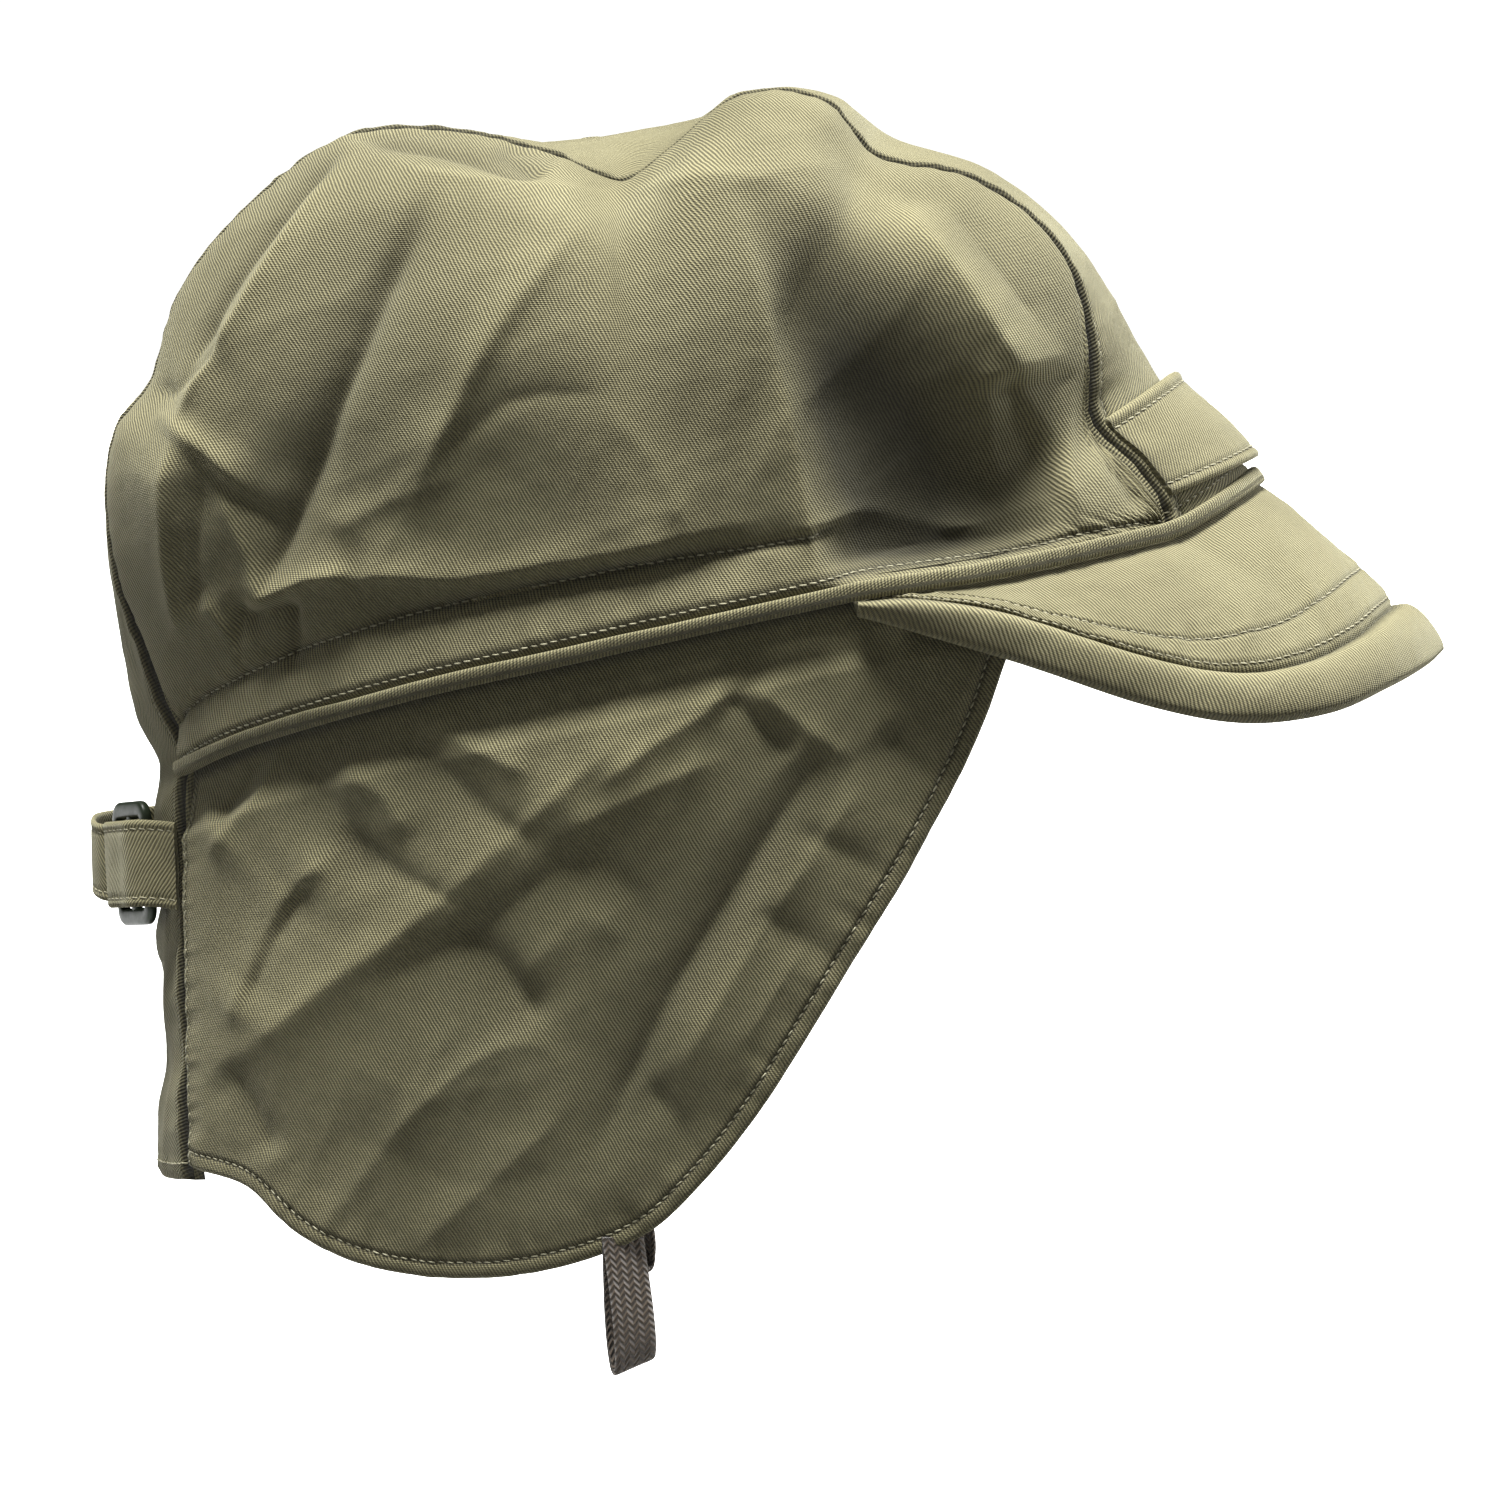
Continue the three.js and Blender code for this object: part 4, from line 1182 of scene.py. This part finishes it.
def brow_tab():
    """The wide loop across the brow, sewn down in both seams and open above and below."""
    columns, rows = 150, 44
    across, up = np.broadcast_arrays(np.linspace(-1, 1, columns + 1) * TAB_REACH,
                                     np.linspace(0, 1, rows + 1)[:, None])
    angle = lerp(TAB_BOTTOM, TAB_TOP, up) - 1.2 * across ** 2
    seam = seam_radius(RIGHT, angle)
    panel = seam + (panel_middle(angle) - seam) * (1 - across ** 2)
    radius = panel + 0.5 + TAB_STAND_OFF * (1 - across ** 4) + TAB_WALL
    turned = np.radians(angle)
    base = upright(radius * np.cos(turned), across * PANEL_HALF_WIDTH, radius * np.sin(turned))
    normals = grid_normals(base, outward(base))
    height = column_lengths(base)
    run = row_lengths(base)
    from_edge = np.minimum(height, height[-1] - height)
    relief = 0.2 * groove(from_edge - 1.1, 0.8) - 0.3 * groove(from_edge - TAB_HEM, 0.5)
    relief -= 0.5 * groove(from_edge, 0.35)
    relief += 0.14 * pucker(run, from_edge - TAB_HEM, 81, 3) + 0.35 * lattice(run / 13, height / 9, 82)
    # Painted shade: dark stitch grooves and dark ends where the tab goes into the seams
    shade = (1 - 0.35 * groove(from_edge - TAB_HEM, 0.5)) * (1 - 0.6 * groove(1 - np.abs(across), 0.03))
    outer = base + normals * relief[..., None]
    inner = outer - outward(base) * TAB_WALL
    piece = shell("cloth_brow_tab", outer, inner, np.stack([run, height], -1), peak_material, shade, 2)
    place_piece(piece, "brow_tab")
    lift = grid_normals(outer, outward(outer))
    for half in (slice(0, rows // 2), slice(rows // 2, rows + 1)):
        stitch_where("brow_tab", outer[half], lift[half], from_edge[half] - TAB_HEM)


def buckle_point(u, n):
    """A place on the buckle seen from above: u the long way of the strap, n outwards."""
    heading = math.radians(BUCKLE_HEADING)
    return (BUCKLE_X + u * math.cos(heading) - n * math.sin(heading),
            BUCKLE_Y + u * math.sin(heading) + n * math.cos(heading))


def lean(points):
    """Turns the strap's end a little in its own plane, as it hangs."""
    heading = math.radians(BUCKLE_HEADING)
    along = np.array([math.cos(heading), math.sin(heading), 0])
    middle = np.array([BUCKLE_X, BUCKLE_Y, STRAP_MIDDLE_Z])
    u = (points - middle) @ along
    share = np.clip((26 - np.abs(u)) / 16, 0, 1)
    turn = math.radians(STRAP_LEAN) * share
    w = points[..., 2] - STRAP_MIDDLE_Z
    moved = points + along * (w * np.sin(turn))[..., None]
    moved[..., 2] = STRAP_MIDDLE_Z + w * np.cos(turn) - u * np.sin(turn)
    return moved


def strap(node, plan, width, out_way, seed):
    path = smooth_path(plan, 0.35)
    path = np.column_stack([path, np.full(len(path), STRAP_MIDDLE_Z)])
    piece, lines, normal = band(
        node + "_cloth", path, np.array([0.0, 0.0, 1.0]), out_way, width, STRAP_WALL, strap_material,
        lambda points, places: lean(points), STRAP_HEM, seed)
    place_piece(piece, node)
    for line in lines:
        add_stitches("straps", line, normal, 2.4, 1.7, 0.15)


def short_strap():
    fold = [(-8.5, 4.3), (-2, 4.1), (4, 3.7), (7.3, 2.9), (8.8, 1.85), (9.15, 0.6), (9, -0.9),
            (8.4, -1.95), (7, -2.25), (5.6, -2.2), (4.75, -1.6), (4.6, -0.5), (4.6, 0.7), (4.1, 1.75),
            (3, 2.2), (-4, 2.2)]
    plan = [(NAPE_SEAM_X - 0.9, -PANEL_HALF_WIDTH - 1)] + [buckle_point(u, n) for u, n in fold]
    strap("strap_short", plan, BUCKLE_WINDOW - 2 * SEAM_GAP, (-1, -1, 0), 91)


def long_strap():
    plan = [(NAPE_SEAM_X - 0.9, PANEL_HALF_WIDTH + 1), (-120, 29.5), (-130, 22), (-136, 12),
            (-137.2, 3), (-133.8, -4.6)]
    end = [(9.5, -3.6), (5, -3.9), (-4, -3.9), (-6.4, -3.4), (-8.6, -1.9), (-9.1, -0.2), (-9, 1)]
    plan += [buckle_point(u, n) for u, n in end]
    strap("strap_long", plan, LONG_STRAP_HIGH, (0, 1, 0), 92)


def buckle():
    """A flat plastic slide: a rounded frame and a bar between its two slots."""
    half_long = (BUCKLE_LONG - BUCKLE_BAR) / 2 - BUCKLE_CORNER
    half_wide = BUCKLE_WIDE / 2 - BUCKLE_END - BUCKLE_CORNER
    middle = []
    for sx, sz, start in ((1, 1, 0), (-1, 1, 90), (-1, -1, 180), (1, -1, 270)):
        for turn in np.radians(start + np.linspace(0, 90, 9)):
            middle.append((sx * half_long + BUCKLE_CORNER * math.cos(turn),
                           sz * half_wide + BUCKLE_CORNER * math.sin(turn)))
    middle = np.array(middle)
    ahead = unit(np.roll(middle, -1, axis=0) - np.roll(middle, 1, axis=0))
    away = np.stack([ahead[:, 1], -ahead[:, 0]], -1)
    wide = lerp(BUCKLE_BAR / 2, BUCKLE_END, np.abs(away[:, 1:]))
    section = squared_circle(16, 0.6, 0.6)
    frame_rings = np.stack([np.column_stack([middle + away * c * wide, 0 * wide + s * BUCKLE_THICK / 2])
                            for c, s in section], 1)
    at = ring_numbers(*frame_rings.shape[:2])
    bar_at = at[:, :-1].size + ring_numbers(2, len(section))
    faces = quads(np.concatenate([at, at[:1]]).T) + tube_faces(bar_at)
    bar_end = half_wide + BUCKLE_CORNER - 1.2
    bar_rings = [stack(section[:, 0] * BUCKLE_BAR / 2, end, section[:, 1] * BUCKLE_THICK / 2 * 0.85)
                 for end in (-bar_end, bar_end)]
    flat = np.concatenate([frame_rings.reshape(-1, 3)] + bar_rings)
    placed = lean(stack(*buckle_point(flat[:, 0], flat[:, 2]), STRAP_MIDDLE_Z + flat[:, 1]))
    piece = add_mesh("plastic_buckle", placed, faces, flat[:, :2], plastic, 40)
    shape = bmesh.new()
    shape.from_mesh(piece.data)
    bmesh.ops.recalc_face_normals(shape, faces=shape.faces)
    shape.to_mesh(piece.data)
    shape.free()
    place_piece(piece, "buckle")


def tape_loop(hand, side, hem, seed):
    """A loop of flat braid that hangs from inside the flap's hem."""
    nearest = hem[np.argmin(np.abs(hem[:, 0] - TAPE_X[side]))]
    top = nearest - outward_level(nearest) * FLAP_WALL / 2
    turn = math.radians(-side * TAPE_TURN)
    wide_way = np.array([math.cos(turn), math.sin(turn), 0])
    open_way = np.array([-math.sin(turn), math.cos(turn), 0]) * -side
    half = TAPE_OPEN / 2 + TAPE_WALL / 2
    outline = [(-0.35, 2), (-0.4, 0.3), (-0.45 * half - 0.5, -0.3), (-half, -0.55), (-half, -0.8),
               (-0.6 * half, -0.955), (0, -1), (0.6 * half, -0.955), (half, -0.8), (half, -0.55),
               (0.45 * half + 0.5, -0.3), (0.4, 0.3), (0.35, 2)]
    path = [top + open_way * o + np.array([0, 0, d if d > 0 else d * TAPE_DROP]) for o, d in outline]
    path = smooth_path(path, 0.3)

    def hang(loops, places):
        deep = np.clip((top[2] - loops[..., 2]) / TAPE_DROP, 0, 1)
        moved = loops.copy()
        moved[..., 2] += 0.34 * places * deep ** 2
        moved[..., 0] += TAPE_LEAN * (top[2] - loops[..., 2])
        return moved

    piece = band("braid_loop_" + hand, path, wide_way, -open_way, TAPE_WIDE, TAPE_WALL, braid, hang,
                 0.0, seed)[0]
    place_piece(piece, "tape_loop_" + hand)


# Camera, light and floor

def add_camera():
    right = np.array([math.cos(CAMERA_AZIMUTH), math.sin(CAMERA_AZIMUTH), 0])
    level = np.array([-math.sin(CAMERA_AZIMUTH), math.cos(CAMERA_AZIMUTH), 0])
    forward = level * math.cos(CAMERA_ELEVATION) + np.array([0, 0, -math.sin(CAMERA_ELEVATION)])
    up = np.cross(right, forward)
    middle = PHOTO_PIXELS / 2
    origin_right = (ORIGIN_PIXEL[0] - middle) / PIXELS_PER_MM
    origin_up = (middle - ORIGIN_PIXEL[1]) / PIXELS_PER_MM
    target = -(origin_right * right + origin_up * up)
    place = target - forward * CAMERA_DISTANCE
    data = bpy.data.cameras.new("camera")
    data.sensor_width = SENSOR
    data.lens = SENSOR * PIXELS_PER_MM * CAMERA_DISTANCE / PHOTO_PIXELS
    data.clip_start = 0.01
    camera = bpy.data.objects.new("camera", data)
    turn = Matrix((right, up, -forward)).transposed().to_4x4()
    camera.matrix_world = Matrix.Translation(Vector(place) * METRE) @ turn
    bpy.context.scene.collection.objects.link(camera)
    bpy.context.scene.camera = camera


def sun(name, azimuth, elevation, width, strength):
    """A soft distant light from a heading round the cap and a height over the floor, in degrees."""
    data = bpy.data.lights.new(name, "SUN")
    data.angle = math.radians(width)
    data.energy = strength
    light = bpy.data.objects.new(name, data)
    heading, height = math.radians(azimuth), math.radians(elevation)
    level = math.cos(height)
    away = Vector((level * math.cos(heading), level * math.sin(heading), math.sin(height)))
    light.matrix_world = Matrix.Translation(away) @ away.to_track_quat("Z", "Y").to_matrix().to_4x4()
    bpy.context.scene.collection.objects.link(light)


def studio():
    """A pale floor under a soft light from above, with a pale sky that is brightest at the horizon."""
    scene = bpy.context.scene
    scene.view_settings.view_transform = "Standard"
    scene.view_settings.gamma = GAMMA
    scene.world = bpy.data.worlds.new("studio")
    scene.world.use_nodes = True
    tree = scene.world.node_tree
    up = add_node(tree, "SeparateXYZ", {0: add_node(tree, "TexCoord", {}, "Generated")}, "Z")
    stops = [(height, (grey,) * 3) for height, grey in SKY]
    sky = ramp(tree, compute(tree, "MULTIPLY_ADD", up, 0.5, 0.5), stops)
    connect(tree, tree.nodes["Background"], {"Color": sky, "Strength": 1.0})
    for name, values in SUNS.items():
        sun(name, *values)
    material, tree, shader = new_material("pale_floor")
    connect(tree, shader, {"Base Color": (0.86, 0.86, 0.86, 1), "Roughness": 0.9,
                           "Specular IOR Level": 0.0})
    mesh = bpy.data.meshes.new("floor")
    corners = [(x * FLOOR_HALF, y * FLOOR_HALF, FLOOR_Z)
               for x, y in ((-1, -1), (1, -1), (1, 1), (-1, 1))]
    mesh.from_pydata(corners, [], [(0, 1, 2, 3)])
    mesh.materials.append(material)
    floor = bpy.data.objects.new("floor", mesh)
    floor.visible_diffuse = False
    scene.collection.objects.link(floor)


crown_side("crown_side_right", RIGHT, CROWN_FOLDS_RIGHT, 100)
crown_side("crown_side_left", LEFT, CROWN_FOLDS_LEFT, 300)
centre_panel()
right_hem = flap("flap_right", RIGHT, FLAP_FOLDS_RIGHT, 200)
left_hem = flap("flap_left", LEFT, FLAP_FOLDS_LEFT, 400)
rim_welt()
peak()
brow_tab()
short_strap()
long_strap()
buckle()
tape_loop("right", RIGHT, right_hem, 95)
tape_loop("left", LEFT, left_hem, 96)
build_stitches(thread)
add_camera()
studio()
